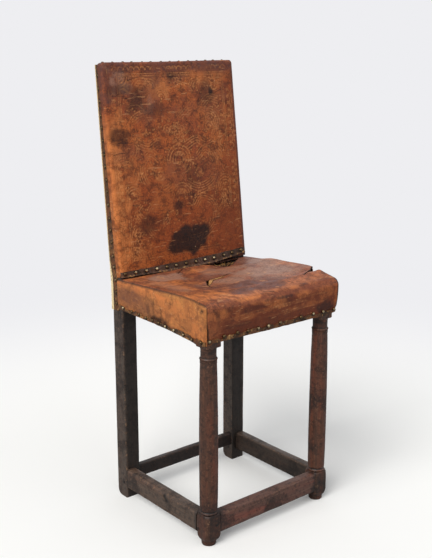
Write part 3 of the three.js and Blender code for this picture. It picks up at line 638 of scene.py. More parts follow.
back_hide = leather_finish("back hide", (190, 104, 50), (158, 78, 39), (84, 42, 27))
seat_hide = leather_finish("seat hide", (176, 102, 60), (136, 72, 44), (76, 42, 31), specular=0.27)
side_hide = leather_finish(
    "seat side hide", (196, 131, 72), (165, 102, 57), (124, 76, 48), grain=0.8, specked=0.3
)
rear_hide = leather_finish("rear hide", (196, 146, 96), (150, 98, 62), (104, 66, 44))
raw_hide = leather_finish("raw hide", (210, 166, 104), (182, 132, 78), (122, 80, 48))
edging = strip_finish("edging")
turned = wood_finish("turned hardwood", (71, 45, 33), (102, 67, 48), (112, 57, 38), "z", 0.44)
upright = wood_finish("dark hardwood", (67, 57, 50), (92, 82, 74), (72, 55, 47), "z", 0.52)
crosswise = wood_finish("hardwood across", (88, 59, 50), (118, 90, 78), (126, 66, 52), "x")
# A darker copy of the wood across, for the rear stretcher: painted shade, as it stands deep under the
# seat.
shaded = wood_finish("dark hardwood across", (44, 35, 31), (62, 50, 44), (52, 34, 28), "x", 0.5)
lengthwise = wood_finish("hardwood along", (74, 61, 52), (108, 88, 74), (90, 64, 50), "y")
brass = brass_finish("brass")
jute = weave_finish("jute webbing", (176, 146, 102), (112, 86, 56), 3.2)
sacking = weave_finish("sackcloth", (160, 132, 94), (96, 74, 50), 2.4)
stuffing = stuffing_finish("hair stuffing")


# Wood


def section(u0, u1, v0, v1, radii, per_side=9, per_corner=6):
    """Rings of points round rectangles from (u0, v0) to (u1, v1): an arc at each corner, from the
    corner (u1, v0) round to (u0, v0), and even steps between the arcs."""
    edges = np.broadcast_arrays(*(np.atleast_1d(v) for v in (u0, u1, v0, v1)))
    low_u, high_u, low_v, high_v = (edge[:, None] for edge in edges)
    arcs = []
    for k, (su, sv) in enumerate([(1, -1), (1, 1), (-1, 1), (-1, -1)]):
        centre_u = (high_u if su > 0 else low_u) - su * radii[k]
        centre_v = (high_v if sv > 0 else low_v) - sv * radii[k]
        angle = (k - 1 + np.linspace(0, 1, per_corner)) * QUARTER
        arcs.append(joined(centre_u + radii[k] * np.cos(angle), centre_v + radii[k] * np.sin(angle)))
    parts = []
    share = np.linspace(0, 1, per_side + 1)[None, 1:-1, None]
    for arc, following in zip(arcs, arcs[1:] + arcs[:1]):
        parts += [arc, lerp(arc[:, -1:], following[:, :1], share)]
    return np.concatenate(parts, axis=1)


def worn(points, amount, size, seed):
    """Moves rings of points in and out from their own middles by noise."""
    away = unit(points - points.mean(axis=1, keepdims=True))
    return points + away * (amount * cloudy(points, size, seed))[..., None]


def edge_wear(points, seed):
    """1 along the corners of a bar's section and 0 on its faces, broken up by noise."""
    middle = (points.min(axis=1, keepdims=True) + points.max(axis=1, keepdims=True)) / 2
    reach = np.maximum(np.ptp(points, axis=1, keepdims=True) / 2, 1e-6)
    off = np.sort(np.abs((points - middle) / reach), axis=-1)
    corner = smooth((off[..., 1] * off[..., 2] - 0.72) / 0.2)
    return clamp(corner * (0.75 + 0.9 * cloudy(points, 40, seed, 4)))


def turned_levels():
    """(height, half width, squareness, soil and shade) from the foot up: straight blocks are square, under
    and between them run a foot, a bead, a shaft that swells out of its taper, two fillets, a ring,
    a neck and a quarter round. Soiling and painted shade darken the grooves between them."""
    levels = [
        (0, 15, 0, 0.6), (0.8, 16.4, 0, 0.4), (2.5, 17.2, 0, 0), (8, 17.6, 0, 0), (12, 17.7, 0, 0.5),
        (13.5, 18.4, 0.5, 0.7), (16, 19.8, 0.8, 0.2), (19, 20.8, 1, 0), (23, 21.4, 1, 0),
        *((z, BLOCK / 2, 1, 0) for z in np.linspace(28, 75, 25)),
        (77.6, 21.4, 1, 0), (79.2, 20.9, 1, 0), (80, 19.9, 1, 0.5), (80.2, 19.4, 0, 0.9),
        *((80.4 + 5 * t, 19.6 + 2.1 * math.sin(math.pi * t), 0, 0) for t in np.linspace(0.08, 0.9, 9)),
        (85.8, 19.2, 0, 1), (86.8, 18.7, 0, 1), (88, 18.9, 0, 1), (89.2, 20.2, 0, 0.9),
        (90.2, 20.9, 0, 0.3),
    ]
    for t in np.linspace(0.004, 1, 110):
        half = lerp(20.6, 18.9, t) + 2.2 * math.sqrt(abs(math.sin(math.pi * t)))
        levels.append((91 + 358 * t, half, 0, 0))
    levels += [
        (449.3, 19.7, 0, 0), (452.4, 19.7, 0, 0), (453, 18.8, 0, 0.9), (453.6, 19.7, 0, 0),
        (456.6, 19.6, 0, 0), (457.0, 18.8, 0, 0.9),
        *((457.2 + 5.8 * t, 18.8 + 2.1 * math.sin(math.pi * t), 0, 0) for t in np.linspace(0.06, 0.94, 9)),
        (463.4, 18.5, 0, 0.9), (466, 18.3, 0, 0.2), (472, 18.3, 0, 0), (477, 18.4, 0, 0.2),
        (478.8, 18.5, 0, 0.8),
        *((479 + 9 * math.sin(t), 21.2 - 2.8 * math.cos(t), 0, 0) for t in np.linspace(0.1, 1.5, 9)),
        (488.1, 20.6, 1, 0.5), (488.8, 21.3, 1, 0), (490, 21.5, 1, 0),
        *((z, BLOCK / 2, 1, 0) for z in np.linspace(494, 566, 14)),
        (567, 20.6, 1, 0),
    ]
    return np.array(levels, float).T


def turned_ring(half, square, count):
    """x and y at even steps round a circle, or round a square with worn corners: half a side, a
    corner arc and half a side, four times."""
    corner = lerp(half, 5.0, square)[:, None]
    flat = half[:, None] - corner
    steps = np.arange(count) / count * 4
    quarter = np.floor(steps)
    at = (steps - quarter) * (2 * flat + corner * QUARTER)
    angle = clamp((at - flat) / corner, 0, QUARTER)
    x = flat + corner * np.cos(angle) - np.maximum(at - flat - corner * QUARTER, 0)
    y = np.minimum(at, flat) + corner * np.sin(angle)
    turn = quarter * QUARTER
    return x * np.cos(turn) - y * np.sin(turn), x * np.sin(turn) + y * np.cos(turn)


def front_leg(word, side):
    """A ring of points at each level of the turning. The corners of the base block are worn to a
    radius about the leg's axis that closes in towards its ends, most at the outer corner."""
    height, half, square, grime_and_shade = (part[:, None] for part in turned_levels())
    x, y = turned_ring(half[:, 0], square[:, 0], 72)
    levels = np.broadcast_to(height, x.shape)
    outer = smooth((x * side - y - 20) / 16)
    radii = [(13, 19.5), (16, 23.5), (21, 26.2), (28, 27.4), (66, 27.6), (76, 26.4), (80, 24.4), (82, 40)]
    limit = through(levels, radii) - outer * 1.2 * (levels < 81)
    limit = limit + 0.5 * cloudy(joined(x, y, levels), 12, 8 + side)
    share = np.minimum(limit / np.hypot(x, y), 1)
    x, y = x * share, y * share
    points = joined(x + side * (HALF - BLOCK / 2), y + (FRONT + BLOCK / 2), levels)
    wear = lerp(0.3, 0.9, square) * smooth(height / 4)
    points = points + (worn(points, 1.0, 26, 11 + side) - points) * wear[..., None]
    corner = smooth((np.hypot(x, y) - 24.4) / 2.0)
    corner = np.maximum(corner, 0.8 * smooth(1 - np.abs(levels - 79) / 1.6))
    corner = np.maximum(corner, 0.55 * smooth(1 - np.abs(levels - 451) / 2.6))
    rubbed = clamp(corner * (0.55 + 1.3 * cloudy(points, 16, 5 + side)))
    # Near black in the grooves and along the foot's lower edge, soiling and painted shade; the whole base
    # block a little darker, less where it is rubbed.
    dirt = np.maximum(grime_and_shade, 0.42 * smooth((82 - levels) / 3) * (1 - rubbed))
    piece = rings(f"front_leg_turned_{word}", points, 32)
    dress(piece, "turned_wood", turned, f"front_leg_{word}", wear=rubbed, dirt=dirt)


def top_lift(x):
    """How far the top of the back rises towards its right end."""
    return 0.8 + 2.2 * smooth((x + 60) / 260)


def stile_line(height):
    """Front and rear y of a rear leg at a height: upright below the bend, then leaning back and
    thinning to the top, with a worn heel."""
    above = np.maximum(height - BEND, 0)
    front = LEG_FRONT + above * math.tan(RAKE)
    rise = above / math.cos(RAKE)
    depth = lerp(LEG_DEPTH, STILE_TOP_DEPTH / math.cos(RAKE), rise / BACK_LENGTH)
    heel = HEEL - np.sqrt(np.maximum(HEEL**2 - np.maximum(HEEL - height, 0) ** 2, 0))
    return front, front + depth - heel


def rear_leg(word, side):
    """Rings of a rectangle with worn corners, each at its height between the stile's two faces."""
    top = BEND + BACK_LENGTH * math.cos(RAKE) - 3.8 + top_lift(side * HALF)
    low_levels = [0, 0.6, 1.5, 3, 5, 8, 11, 15]
    height = np.concatenate([low_levels, np.arange(20, 560, 6), np.linspace(563, top, 60)])
    front, rear = stile_line(height)
    edges = sorted((side * HALF, side * (HALF - LEG_WIDTH)))
    flat = section(*edges, front, rear, [2.4] * 4, 10, 5)
    points = worn(joined(flat[..., 0], flat[..., 1], height[:, None]), 0.45, 45, 31 + side)
    face = LEG_FRONT + np.maximum(points[..., 2] - BEND, 0) * math.tan(RAKE)
    points[..., 1] = np.maximum(points[..., 1], face)
    points[..., 2] = height[:, None]
    outward = smooth((points[..., 0] * side - HALF + 8) / 6)
    wear = edge_wear(points, 34 + side) * (height < 500)[:, None] * lerp(0.15, 0.8, outward)
    # Painted shade: the front face, away from the outer side, near black as it lies under the seat.
    shade = (1 - smooth((points[..., 1] - front[:, None] - 1.0) / 2.5)) * (1 - outward)
    piece = rings(f"rear_leg_board_{word}", points, 40)
    dress(piece, "dark_wood", upright, f"rear_leg_{word}", wear=wear, dirt=0.78 * shade)


def stretcher(node, along, outside, radii, dip, finish, seed, knots=()):
    """A bar between two legs: rings of a rounded rectangle, hollowed at the upper outer edge by
    feet. `along` is the axis of its length, 0 for x and 1 for y, `outside` is the sign of its outer
    face across that, and each knot (place along, height, reach) is a small dark pit in that face,
    with a pale chip beside it."""
    low, high = span(node)
    across = 1 - along
    gap = HALF - (BLOCK if outside < 0 else LEG_WIDTH)
    start, end = (FRONT + BLOCK, LEG_FRONT) if along else (-gap, gap)
    at = np.linspace(start - 1, end + 1, 110)
    flat = section(np.full(len(at), low[across]), high[across], low[2], high[2], radii)
    run = [flat[..., 0], flat[..., 1]]
    run.insert(along, at[:, None])
    points = joined(*run)
    face = high[across] if outside > 0 else low[across]
    near = smooth(1 - np.abs(points[..., across] - face) / 18)
    share = (at - at[0]) / (at[-1] - at[0])
    hollow = dip * np.sin(math.pi * share) ** 2 * (0.75 + 0.5 * cloudy(points[:, 0], 60, seed))
    points[..., 2] -= smooth((points[..., 2] - high[2] + 14) / 14) * near * hollow[:, None]
    points = worn(points, 0.7, 30, seed)
    feet = clamp(0.7 + cloudy(points, 24, seed + 2, 4))
    trodden = 0.6 * near * smooth((points[..., 2] - high[2] + 13) / 8) * feet
    pits = bumps(points[..., along], points[..., 2], [(*knot, knot[2], 1.0) for knot in knots]) * near
    points[..., across] -= outside * 2.2 * pits
    chips = [(*knot, knot[2], 1.3) for knot in knots]
    chipped = bumps(points[..., along] - 6, points[..., 2] - 4, chips) * near
    inside = np.minimum(smooth(share / 0.04), smooth((1 - share) / 0.04))[:, None]
    wear = edge_wear(points, seed + 1) * lerp(0.4, 1.0, near)
    wear = clamp(np.maximum(np.maximum(wear, trodden), chipped)) * inside
    # Painted shade: the face turned in under the seat darkened below its top edge; the ends stay dark at
    # the joints and the knots are dark pits.
    shade = 0.62 * (1 - near) * smooth((high[2] - 2 - points[..., 2]) / 3)
    dirt = clamp(np.maximum((1 - inside) * 0.8, shade) + 2 * pits)
    dress(rings(f"{node}_bar", points, 40), "frame_wood", finish, node, wear=wear, dirt=dirt)


def peg_head(node, finish, seed):
    """A peg through its joint: rings along its length, the outer end a low uneven dome."""
    low, high = span(node)
    axis = int(np.argmax(high - low))
    middle = (low + high) / 2
    outward = np.sign(middle[axis] - (0 if axis == 0 else (FRONT + REAR) / 2))
    inner, outer = (low[axis], high[axis])[:: int(outward)]
    at = np.array([inner, *(outer + step * outward for step in (0, 0.9, 1.3, 1.4))])[:, None]
    radius = np.array([3.3, 3.7, 3.7, 2.9, 1.6])[:, None]
    angle = np.linspace(0, TURN, 14, endpoint=False)
    u, v = (middle[k] for k in range(3) if k != axis)
    run = [u + radius * np.cos(angle), v + radius * np.sin(angle)]
    run.insert(axis, at)
    points = joined(*run)
    points[2:] = worn(points[2:], 0.5, 3, seed)
    piece = rings(f"{node}_head", points, 30)
    dress(piece, "frame_wood", finish, node, dirt=np.full(points.shape[:2], 0.85))


for word, side in SIDES:
    front_leg(word, side)
    rear_leg(word, side)
stretcher("front_stretcher", 0, -1, [3, 4, 5, 9], 3.5, crosswise, 51)
stretcher("rear_stretcher", 0, 1, [3, 3, 3, 4], 1.0, shaded, 53)
stretcher("left_stretcher", 1, -1, [3, 4, 9, 4], 3.0, lengthwise, 55, [(-37, 69, 5), (-45, 60, 6)])
stretcher("right_stretcher", 1, 1, [4, 9, 4, 3], 2.0, lengthwise, 57)
for number, node in enumerate(sorted(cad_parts)):
    if "_peg_" in node:
        finish = upright if "rear" in node else turned
        if "_stretcher_peg" in node:
            peg_head(node, finish, 70 + number)
        else:
            refinish(node, finish)
for node in ("front_seat_rail", "rear_seat_rail", "crest_rail", "lower_back_rail"):
    refinish(node, crosswise)
for node in ("left_seat_rail", "right_seat_rail"):
    refinish(node, lengthwise)


# Seat cover

SEAT_BUMPS = [  # x, y, reach along each and height of broad hills and hollows
    (-20, 92, 60, 26, 3.0), (-60, -70, 60, 40, -2.0), (60, -100, 70, 30, 2.0),
    (-120, -10, 26, 60, 1.5), (-10, -130, 36, 16, -1.6), (120, -20, 40, 22, 1.6),
]
# (y, rise) along the two seams, and (y, z) or (x, z) along the lower edges
LEFT_RISE = [(133, 0), (84, 2), (1, 6), (-76, 10), (-131, 12), (-168, 11), (-191, 8), (-211, 6.5)]
RIGHT_RISE = [
    (133, -1), (89, 3), (56, 6), (26, 12), (-37, 15), (-82, 17), (-123, 15), (-138, 13),
    (-152, 15), (-168, 11), (-186, 7), (-204, 3), (-214, 0),
]
LEFT_LOW = [(-206, 497), (-176, 494), (-151, 498), (-77, 504), (1, 507), (84, 508.5), (136, 510)]
RIGHT_LOW = [(-206, 502), (-170, 499), (-90, 504), (10, 506), (136, 508)]
FRONT_LOW = [(-204, 498), (-185, 503), (-98, 502), (-39, 501), (130, 501), (170, 500), (206, 505)]
ROLL_START, ROLL_END = 0.755, 0.835  # shares of the cover's length, from its rear edge
CRACK_FOOT = np.array([144.0, -157.0])  # where the crack at the right edge starts
CRACK_WAY = np.array([0.926, 0.376])  # and which way it runs
TEARS = [  # x, y and width along each tear
    [(-62, 80, 0.8), (-45, 94, 1.8), (-20, 111, 2.6), (2, 117, 3.2), (34, 118, 4.0), (60, 113, 12),
     (84, 105, 25), (107, 101, 34), (132, 105, 26), (152, 111, 15), (170, 116, 2)],
    [(34, -8, 0.8), (14, -14, 2), (-13, -20, 2.6), (-40, -24, 3.2), (-56, -28, 6), (-62, -38, 6),
     (-78, -58, 4), (-97, -97, 0.8)],
    [(142, -158, 0.8), (165, -148.5, 2.4), (185, -140.5, 4), (200, -133, 8), (216, -127, 13)],
    [(-19, -188, 0.8), (-6, -193, 1.8), (6, -197, 0.8)],
    [(-157, 72, 0.8), (-150, 60, 2.0), (-144, 47, 0.8)],
]


def seat_rise(x, y):
    """How far the stuffed seat stands above its own edge at the back: the lines of the two seams,
    blended across, less a hollow over the middle and the fall before the front roll, plus hills."""
    along = clamp((y - COVER_FRONT) / (LEG_FRONT - COVER_FRONT))
    across = clamp(x / COVER_HALF, -1, 1)
    seams = lerp(flowing(y, LEFT_RISE), flowing(y, RIGHT_RISE), smooth((across + 1) / 2))
    arch = np.maximum(np.sin(math.pi * along), 0)
    fall = np.maximum(1 - (y - COVER_FRONT) / FALL_REACH, 0) ** 2
    share = through(x, [(-205, 0.1), (-120, 0.9), (0, 1), (150, 0.8), (205, 0.4)])
    sunk = SEAT_HOLLOW * (1 - across**2) * arch**0.8
    return seams - sunk - FRONT_FALL * fall * share + bumps(x, y, SEAT_BUMPS)


def torn_lift(x, y):
    """How far the leather stands up or sinks beside its tears: behind the crack at the right edge it
    curls up and before it dips, both more the further out, in front of the long tear it sags into
    the hollow, and a lip and the hinge of the turned flap stand up a little."""
    place = joined(x, y) - CRACK_FOOT
    along = place @ CRACK_WAY
    beside = place @ np.array([-CRACK_WAY[1], CRACK_WAY[0]])
    behind = np.exp(-((np.maximum(beside, 0) / 34) ** 2)) * smooth(beside / 2 + 0.5)
    before = np.exp(-((np.minimum(beside, 0) / 11) ** 2)) * smooth(0.5 - beside / 2)
    curl = 4.0 * smooth(along / 62) * behind - 7.0 * smooth(along / 50 - 0.3) * before
    return curl + bumps(x, y, [(108, 82, 48, 20, -7.0), (10, 108, 45, 8, 2.4), (-40, -34, 30, 12, 2.0)])


def front_roll(x):
    """Radius of the front's rolled edge: full in the middle, tighter at the corners."""
    return through(x, [(-205, 8.5), (-165, 13), (-90, 19), (90, 20), (165, 17), (205, 14)])


def wall_share(height):
    """Place down the wall, from its fullest (0) to its foot (1)."""
    return clamp((WALL_TOP - height) / (WALL_TOP - COVER_LOW))


def wall_bulge(height):
    """How far the wall has come in from its fullest at a height: a quarter wave of the bulge."""
    return BULGE * (1 - np.sin(QUARTER * (1 - wall_share(height))))


def wall_x(height):
    """How far out the walls at the sides stand at a height."""
    return COVER_HALF + BULGE - wall_bulge(height)


def mitre_gap(height, side):
    """How far the front's edge has drawn back from the side panel, down the wall."""
    share = wall_share(height)
    return np.where(side < 0, 3.0 * smooth((share - 0.1) / 0.6), 0.9 * smooth((share - 0.5) / 0.5))


def seat_cover(across, along):
    """The cover from its rear edge (along 0) over the front roll to the foot of the front (along 1),
    and from seam to seam (across -1 to 1): a profile in y and z is carried across, and near each
    seam it drops along its own normal by a small arc."""
    rear = np.where(np.abs(across) < 0.76, REAR_EDGE, STILE_EDGE)
    roll = front_roll(across * SEAM_HALF)
    roll_y = COVER_FRONT - BULGE + roll
    roll_z = COVER_TOP - roll
    angle = clamp((along - ROLL_START) / (ROLL_END - ROLL_START)) * QUARTER
    wall = clamp((along - ROLL_END) / (1 - ROLL_END))
    height = lerp(roll_z, COVER_LOW, wall)
    flat = wall_x(height) - SIDE_ROLL
    at = np.abs(across) * (flat + SIDE_ROLL * math.pi / 4 - mitre_gap(height, np.sign(across)))
    turn = np.maximum(at - flat, 0) / SIDE_ROLL
    x = np.sign(across) * (np.minimum(at, flat) + SIDE_ROLL * np.sin(turn))
    drop = SIDE_ROLL * (1 - np.cos(turn))
    radius = roll - drop
    y = lerp(rear, roll_y, clamp(along / ROLL_START)) - radius * np.sin(angle)
    y = y + wall_bulge(height) * (along > ROLL_START)
    z = roll_z + radius * np.cos(angle) - wall * (roll_z - through(x, FRONT_LOW))
    z = np.where(along < ROLL_START, COVER_TOP - drop, z)
    lift = clamp((z - COVER_LOW) / (COVER_TOP - COVER_LOW))
    return full_corner(x, y, z + lift * (seat_rise(x, y) + torn_lift(x, y) * smooth((0.95 - wall * 10))))


def full_corner(x, y, z):
    """Moves the right front corner outwards and forwards by a bell round its edge."""
    near = np.exp(-(((x - 207) / 40) ** 2) - ((y + 207) / 40) ** 2)
    push = CORNER_PUSH * near * smooth((z - 498) / 26)
    return joined(x, y, z) + push[..., None] * np.array([1.0, -1.0, 0.0])


def seat_top():
    """The top leather: its surface with creases and a rounded seam edge, a coarser underside, and
    the tears cut through."""
    along, across = sheet_grid(215, 213, 2)
    across = across * 2 - 1
    outer = seat_cover(across, along)
    normals = grid_normals(outer, (0, 0, 1))
    rough = 0.9 * cloudy(outer, 75, 101, 3) + 0.45 * cloudy(outer * [1.0, 2.2, 1.0], 22, 104, 3)
    edge = smooth(1 - (1 - np.abs(across)) * 207 / 2.2)
    outer = outer + normals * (rough * smooth((1 - np.abs(across)) * 30) - 0.9 * edge)[..., None]
    piece = shell("seat_top_cover", outer, (outer - normals * LEATHER)[::2, ::2])
    cut(piece, [slit(line, 568, 616, 110 + k) for k, line in enumerate(TEARS)])
    dress(piece, "seat_leather", seat_hide, "seat_top_leather", **seat_masks(places(piece)))


def near_tears(points, reach):
    """1 on a tear and 0 at a distance from it, by the nearest of points spaced along its line."""
    closest = np.full(len(points), 1e9)
    for line in TEARS:
        share = np.linspace(0, len(line) - 1, 60)
        x, y, width = (np.interp(share, np.arange(len(line)), part) for part in np.array(line, float).T)
        away = np.hypot(points[:, None, 0] - x, points[:, None, 1] - y) - width / 2
        closest = np.minimum(closest, away.min(axis=1))
    return smooth(1 - closest / reach)


def seat_masks(at):
    """Masks of the top leather, by place: mauve where it is rubbed, orange along the edges, a painted
    pale sheen, dark stains, light scratches over the front, and painted shade along the seams, round
    the tears and under the lip of the back's base strip."""
    x, y, z = at.T
    top = smooth((z - 572) / 8)
    plum = spread(x, y, [
        (-30, 0, 50, 36, 0.6), (-69, -100, 46, 20, 0.8), (-110, -60, 24, 30, 0.7),
        (-13, -165, 70, 16, 1.0), (-19, -118, 70, 26, 1.0), (60, -140, 60, 16, 0.9),
        (150, -60, 40, 40, 0.6), (60, 76, 40, 16, 0.8), (150, 63, 60, 60, 0.8),
        (-130, 92, 50, 16, 0.35),
    ], 120, 0.5, 1.6)
    worn_top = spread(x, y, [
        (-150, -10, 36, 90, 0.8), (-102, -35, 30, 24, 0.7), (-155, -150, 56, 40, 1.0),
        (-160, 104, 44, 26, 0.7), (-60, -190, 70, 14, 0.9), (-14, 77, 44, 16, 0.8),
        (28, 43, 40, 22, 0.55), (190, -12, 24, 60, 0.7), (120, -180, 60, 18, 0.5),
        (30, -192, 60, 10, 0.6), (194, -170, 24, 30, 0.2),
    ], 123, 0.6, 1.3)
    # Painted sheen: a pale grey reflection over the top.
    shine = spread(x, y, [
        (100, -50, 74, 50, 1.0), (170, 10, 44, 60, 0.6), (-5, -60, 60, 30, 0.6),
        (60, 30, 60, 40, 0.5), (-110, 60, 50, 30, 0.7), (-160, 0, 24, 80, 0.35),
        (120, -120, 60, 20, 0.5),
    ], 126, 0.5)
    worn_front = 0.85 * spread(x, z, [
        (-160, 568, 40, 14, 0.7), (-60, 576, 40, 8, 0.6), (18, 566, 24, 16, 0.6),
        (80, 574, 36, 12, 0.7), (150, 562, 34, 14, 0.4), (-100, 548, 70, 6, 0.35),
        (80, 541, 70, 5, 0.35), (199, 540, 6, 30, 0.4),
    ], 129, 0.8, 1.3)
    scratches = scratched(x, z, [
        (-150, 548, 150, 0.03, 4), (-120, 541, 190, 0.05, 5), (-60, 536, 150, 0.02, -3),
        (-20, 553, 130, -0.02, 4), (20, 529, 120, 0.04, 3), (-170, 534, 90, -0.04, 2),
        (0, 546, 110, 0.03, 3), (60, 557, 110, 0.02, 3),
    ], 1.2)
    marks = spread(x, z, [
        (-146, 574, 16, 14, 0.4), (-46, 562, 50, 5, 0.35), (-10, 574, 40, 4, 0.8),
        (162, 524, 40, 12, 0.75), (-172, 548, 6, 24, 0.45), (-110, 530, 70, 4, 0.4),
        (120, 582, 40, 4, 0.5),
    ], 132, 1.1, 0.9)
    marks = np.maximum(marks, spread(x, z, [(-203, 582, 8, 9, 1.0)], 134, 0.3))
    # The front darker towards its foot and along its lower edge, laid in with the stains.
    low = 0.22 * smooth((552 - z) / 36) * clamp(0.7 + 1.2 * cloudy(at * [1, 1, 2.5], 50, 135, 4))
    low_edge = smooth(1 - (z - through(x, FRONT_LOW)) / 10) * (y < -195)
    # Painted shade round the edges of the tears.
    tear = near_tears(at, 1.8) * smooth((z - 570) / 6)
    # Painted shadow under the lip of the back's base strip, along the seat's rear edge.
    behind = 0.9 * smooth((y - 115 - 3 * cloudy(at, 30, 138, 2)) / 3)
    behind = behind * smooth((np.abs(x + 20) - 30) / 20) * top
    width = wall_x(z) - SIDE_ROLL + SIDE_ROLL * math.sin(math.pi / 4)
    seam = smooth(1 - (width - mitre_gap(z, np.sign(x)) - np.abs(x)) / 3.0)
    rubbed = 0.75 * smooth((-x - 150) / 46) * clamp(0.9 + 0.8 * cloudy(at, 26, 141, 3))
    deep = np.maximum(1 - top, 0.75 * smooth((-176 - y) / 12))
    return {
        "plum": plum * top + 0.04 * (1 - top) * clamp(0.6 + cloudy(at, 46, 136, 3)),
        "deep": deep * clamp(1.05 + 0.5 * cloudy(at, 50, 139, 3)) * (1 - rubbed),
        "worn": np.maximum(worn_top * top, np.maximum(worn_front, 0.55 * rubbed) * (1 - top)),
        # Painted sheen over the whole top, most in its patches.
        "shine": clamp(1.25 * shine + 0.06) * top,
        "stain": np.maximum(np.maximum(marks, low * (1 - rubbed)) * (1 - top), 0.6 * low_edge),
        # Painted shade along the side seams, round the tears and under the base strip's lip.
        "seam": np.maximum(np.maximum(seam, 0.9 * tear), behind),
        "tool": 0.7 * scratches * (1 - top) * clamp(0.7 + 1.3 * cloudy(at, 30, 137, 3)),
    }


def side_panel(word, side):
    """A side panel: a grid over its outline in y and z, whose x is the wall's bulge less an arc
    along the seam. The outline runs under the top's seam and turns down the front with its roll."""
    low_line = LEFT_LOW if side < 0 else RIGHT_LOW
    height, along = sheet_grid(61, 181, 2)
    front = COVER_FRONT - BULGE + SEAM_DROP + 0.35
    radius = float(front_roll(side * SEAM_HALF)) - SEAM_DROP
    straight = 0.84
    turn = clamp((along - straight) / (1 - straight)) * QUARTER
    level = REAR_EDGE - (REAR_EDGE - front - radius) * along / straight
    y = np.where(along < straight, level, front + radius - radius * np.sin(turn))
    edge_x = side * (COVER_HALF + BULGE - 0.29 * SIDE_ROLL)
    seam_z = COVER_TOP - SEAM_DROP - 0.4 + seat_rise(np.full_like(y, edge_x), y)
    z = lerp(through(y, low_line), seam_z - radius * (1 - np.cos(turn)), height)
    y = y + wall_bulge(z) * smooth((along - 0.6) / 0.4)
    in_y, in_z = y - front - wall_bulge(z), seam_z - z
    corner = (in_y < radius) & (in_z < radius)
    inside = np.where(corner, radius - np.hypot(radius - in_y, radius - in_z), np.minimum(in_y, in_z))
    reach = SIDE_ROLL * math.sin(math.pi / 4)
    fall = np.sqrt(np.maximum(SIDE_ROLL**2 - np.maximum(reach - inside, 0) ** 2, 0)) - SIDE_ROLL
    rough = 0.7 * cloudy(joined(0, y, z), 70, 140 + side, 3) * smooth(inside / 8)
    rounded = 0.9 * smooth(1 - inside / 1.8)
    outer = full_corner(side * (wall_x(z) + fall + rough - rounded), y, z)
    inner = outer - grid_normals(outer, (side, 0, 0)) * LEATHER
    piece = shell(f"seat_{word}_panel", outer, inner[::2, ::2])
    if side > 0:
        cut(piece, [slit([(188, -139, 7), (203, -136, 14), (220, -131, 19)], 589, 622, 148)])
    _, y, z = places(piece).T
    plum = [(96, 548, 60, 30, 0.75), (20, 530, 40, 22, 0.6), (-60, 508, 60, 7, 0.5)]
    stain = spread(y, z, [
        (-30, 519, 24, 11, 0.95), (-14, 540, 5, 18, 0.4), (-44, 534, 5, 16, 0.45),
        (6, 530, 6, 14, 0.4), (40, 512, 30, 5, 0.5), (-196, 576, 9, 9, 1.0),
    ], 153 + side, 0.7)
    worn_part = spread(y, z, [
        (-110, 556, 80, 26, 0.6), (-80, 534, 40, 20, 0.4), (-20, 577, 110, 9, 1.0),
        (90, 580, 60, 5, 0.8), (-176, 520, 30, 30, 0.9),
    ], 156 + side, 0.5)
    # Darker along the lower edge, laid in with the stains.
    low_edge = smooth(1 - (z - through(y, low_line)) / 10)
    # Painted shadow lines: under the top's seam, and in the mitre gap at the front.
    seam = smooth(1 - (COVER_TOP - SEAM_DROP + seat_rise(np.full_like(y, edge_x), y) - z) / 5.5)
    mitre_shade = smooth(1 - (y - front) / 1.8) * lerp(0.3, 1, smooth((565 - z) / 30))
    masks = {
        "plum": spread(y, z, plum, 150 + side, 0.5),
        "stain": np.maximum(stain, 0.6 * low_edge),
        "worn": worn_part,
        # Painted shade along the top seam and the mitre.
        "seam": np.maximum(seam, mitre_shade) * 0.9,
    }
    dress(piece, "seat_leather", side_hide, f"seat_{word}_leather", **masks)


def torn_flap():
    """The tongue of leather turned over at the middle tear: a triangle that thins to its ends, its
    free edge curled up off the seat."""
    cross, along = sheet_grid(9, 41)
    x = lerp(8, -82, along)
    hinge = through(x, [(-82, -66), (-62, -42), (-54, -32), (-13, -22), (8, -17)])
    wide = through(x, [(-82, 1.0), (-66, 9), (-54, 13), (-40, 7.5), (-12, 5.5), (8, 1.0)])
    y = hinge - wide * cross * (1 + 0.2 * cloudy(joined(x, x, x), 9, 160, 2))
    lift = 0.8 + 2.2 * np.sin(math.pi * cross * 0.8) * wide / 11
    outer = joined(x, y, COVER_TOP + seat_rise(x, y) + torn_lift(x, y) + lift)
    dress(shell("seat_turned_flap", outer, outer - [0, 0, 1.5]), "seat_leather", raw_hide)


def hair_stuffing():
    """Stuffing under the cover: flat below, and above it the cover's own height less the leather,
    with clumps, rolled off round the edge and hollow under the tears."""
    across, along = sheet_grid(111, 111)
    half, front = COVER_HALF - STUFFING_MARGIN, COVER_FRONT + STUFFING_MARGIN
    x = lerp(-half, half, across)
    y = lerp(front, STILE_EDGE, along)
    hollow = bumps(x, y, [(108, 100, 40, 20, 8.0), (-45, -30, 26, 12, 2.0)])
    clumps = 1.1 * cloudy(joined(x, y, 0), 16, 170, 3) + 1.1
    top = COVER_TOP + seat_rise(x, y) + np.minimum(torn_lift(x, y), 0) - LEATHER - 1.2 - clumps - hollow
    inside = np.minimum(np.minimum(half - np.abs(x), y - front), STILE_EDGE - y)
    edge = np.sqrt(1 - (1 - clamp(inside / 14)) ** 2)
    top = STUFFING_FOOT + 0.4 + np.maximum(top - STUFFING_FOOT, 1.0) * edge
    piece = shell("seat_hair_stuffing", joined(x, y, top), joined(x, y, STUFFING_FOOT))
    x, y, _ = places(piece).T
    # Painted shade inside the two open tears.
    depths = spread(x, y, [(108, 104, 64, 26, 1.0), (180, -142, 50, 22, 1.0)], 173, 0.2)
    dress(piece, "stuffing", stuffing, "seat_stuffing", depths=depths)


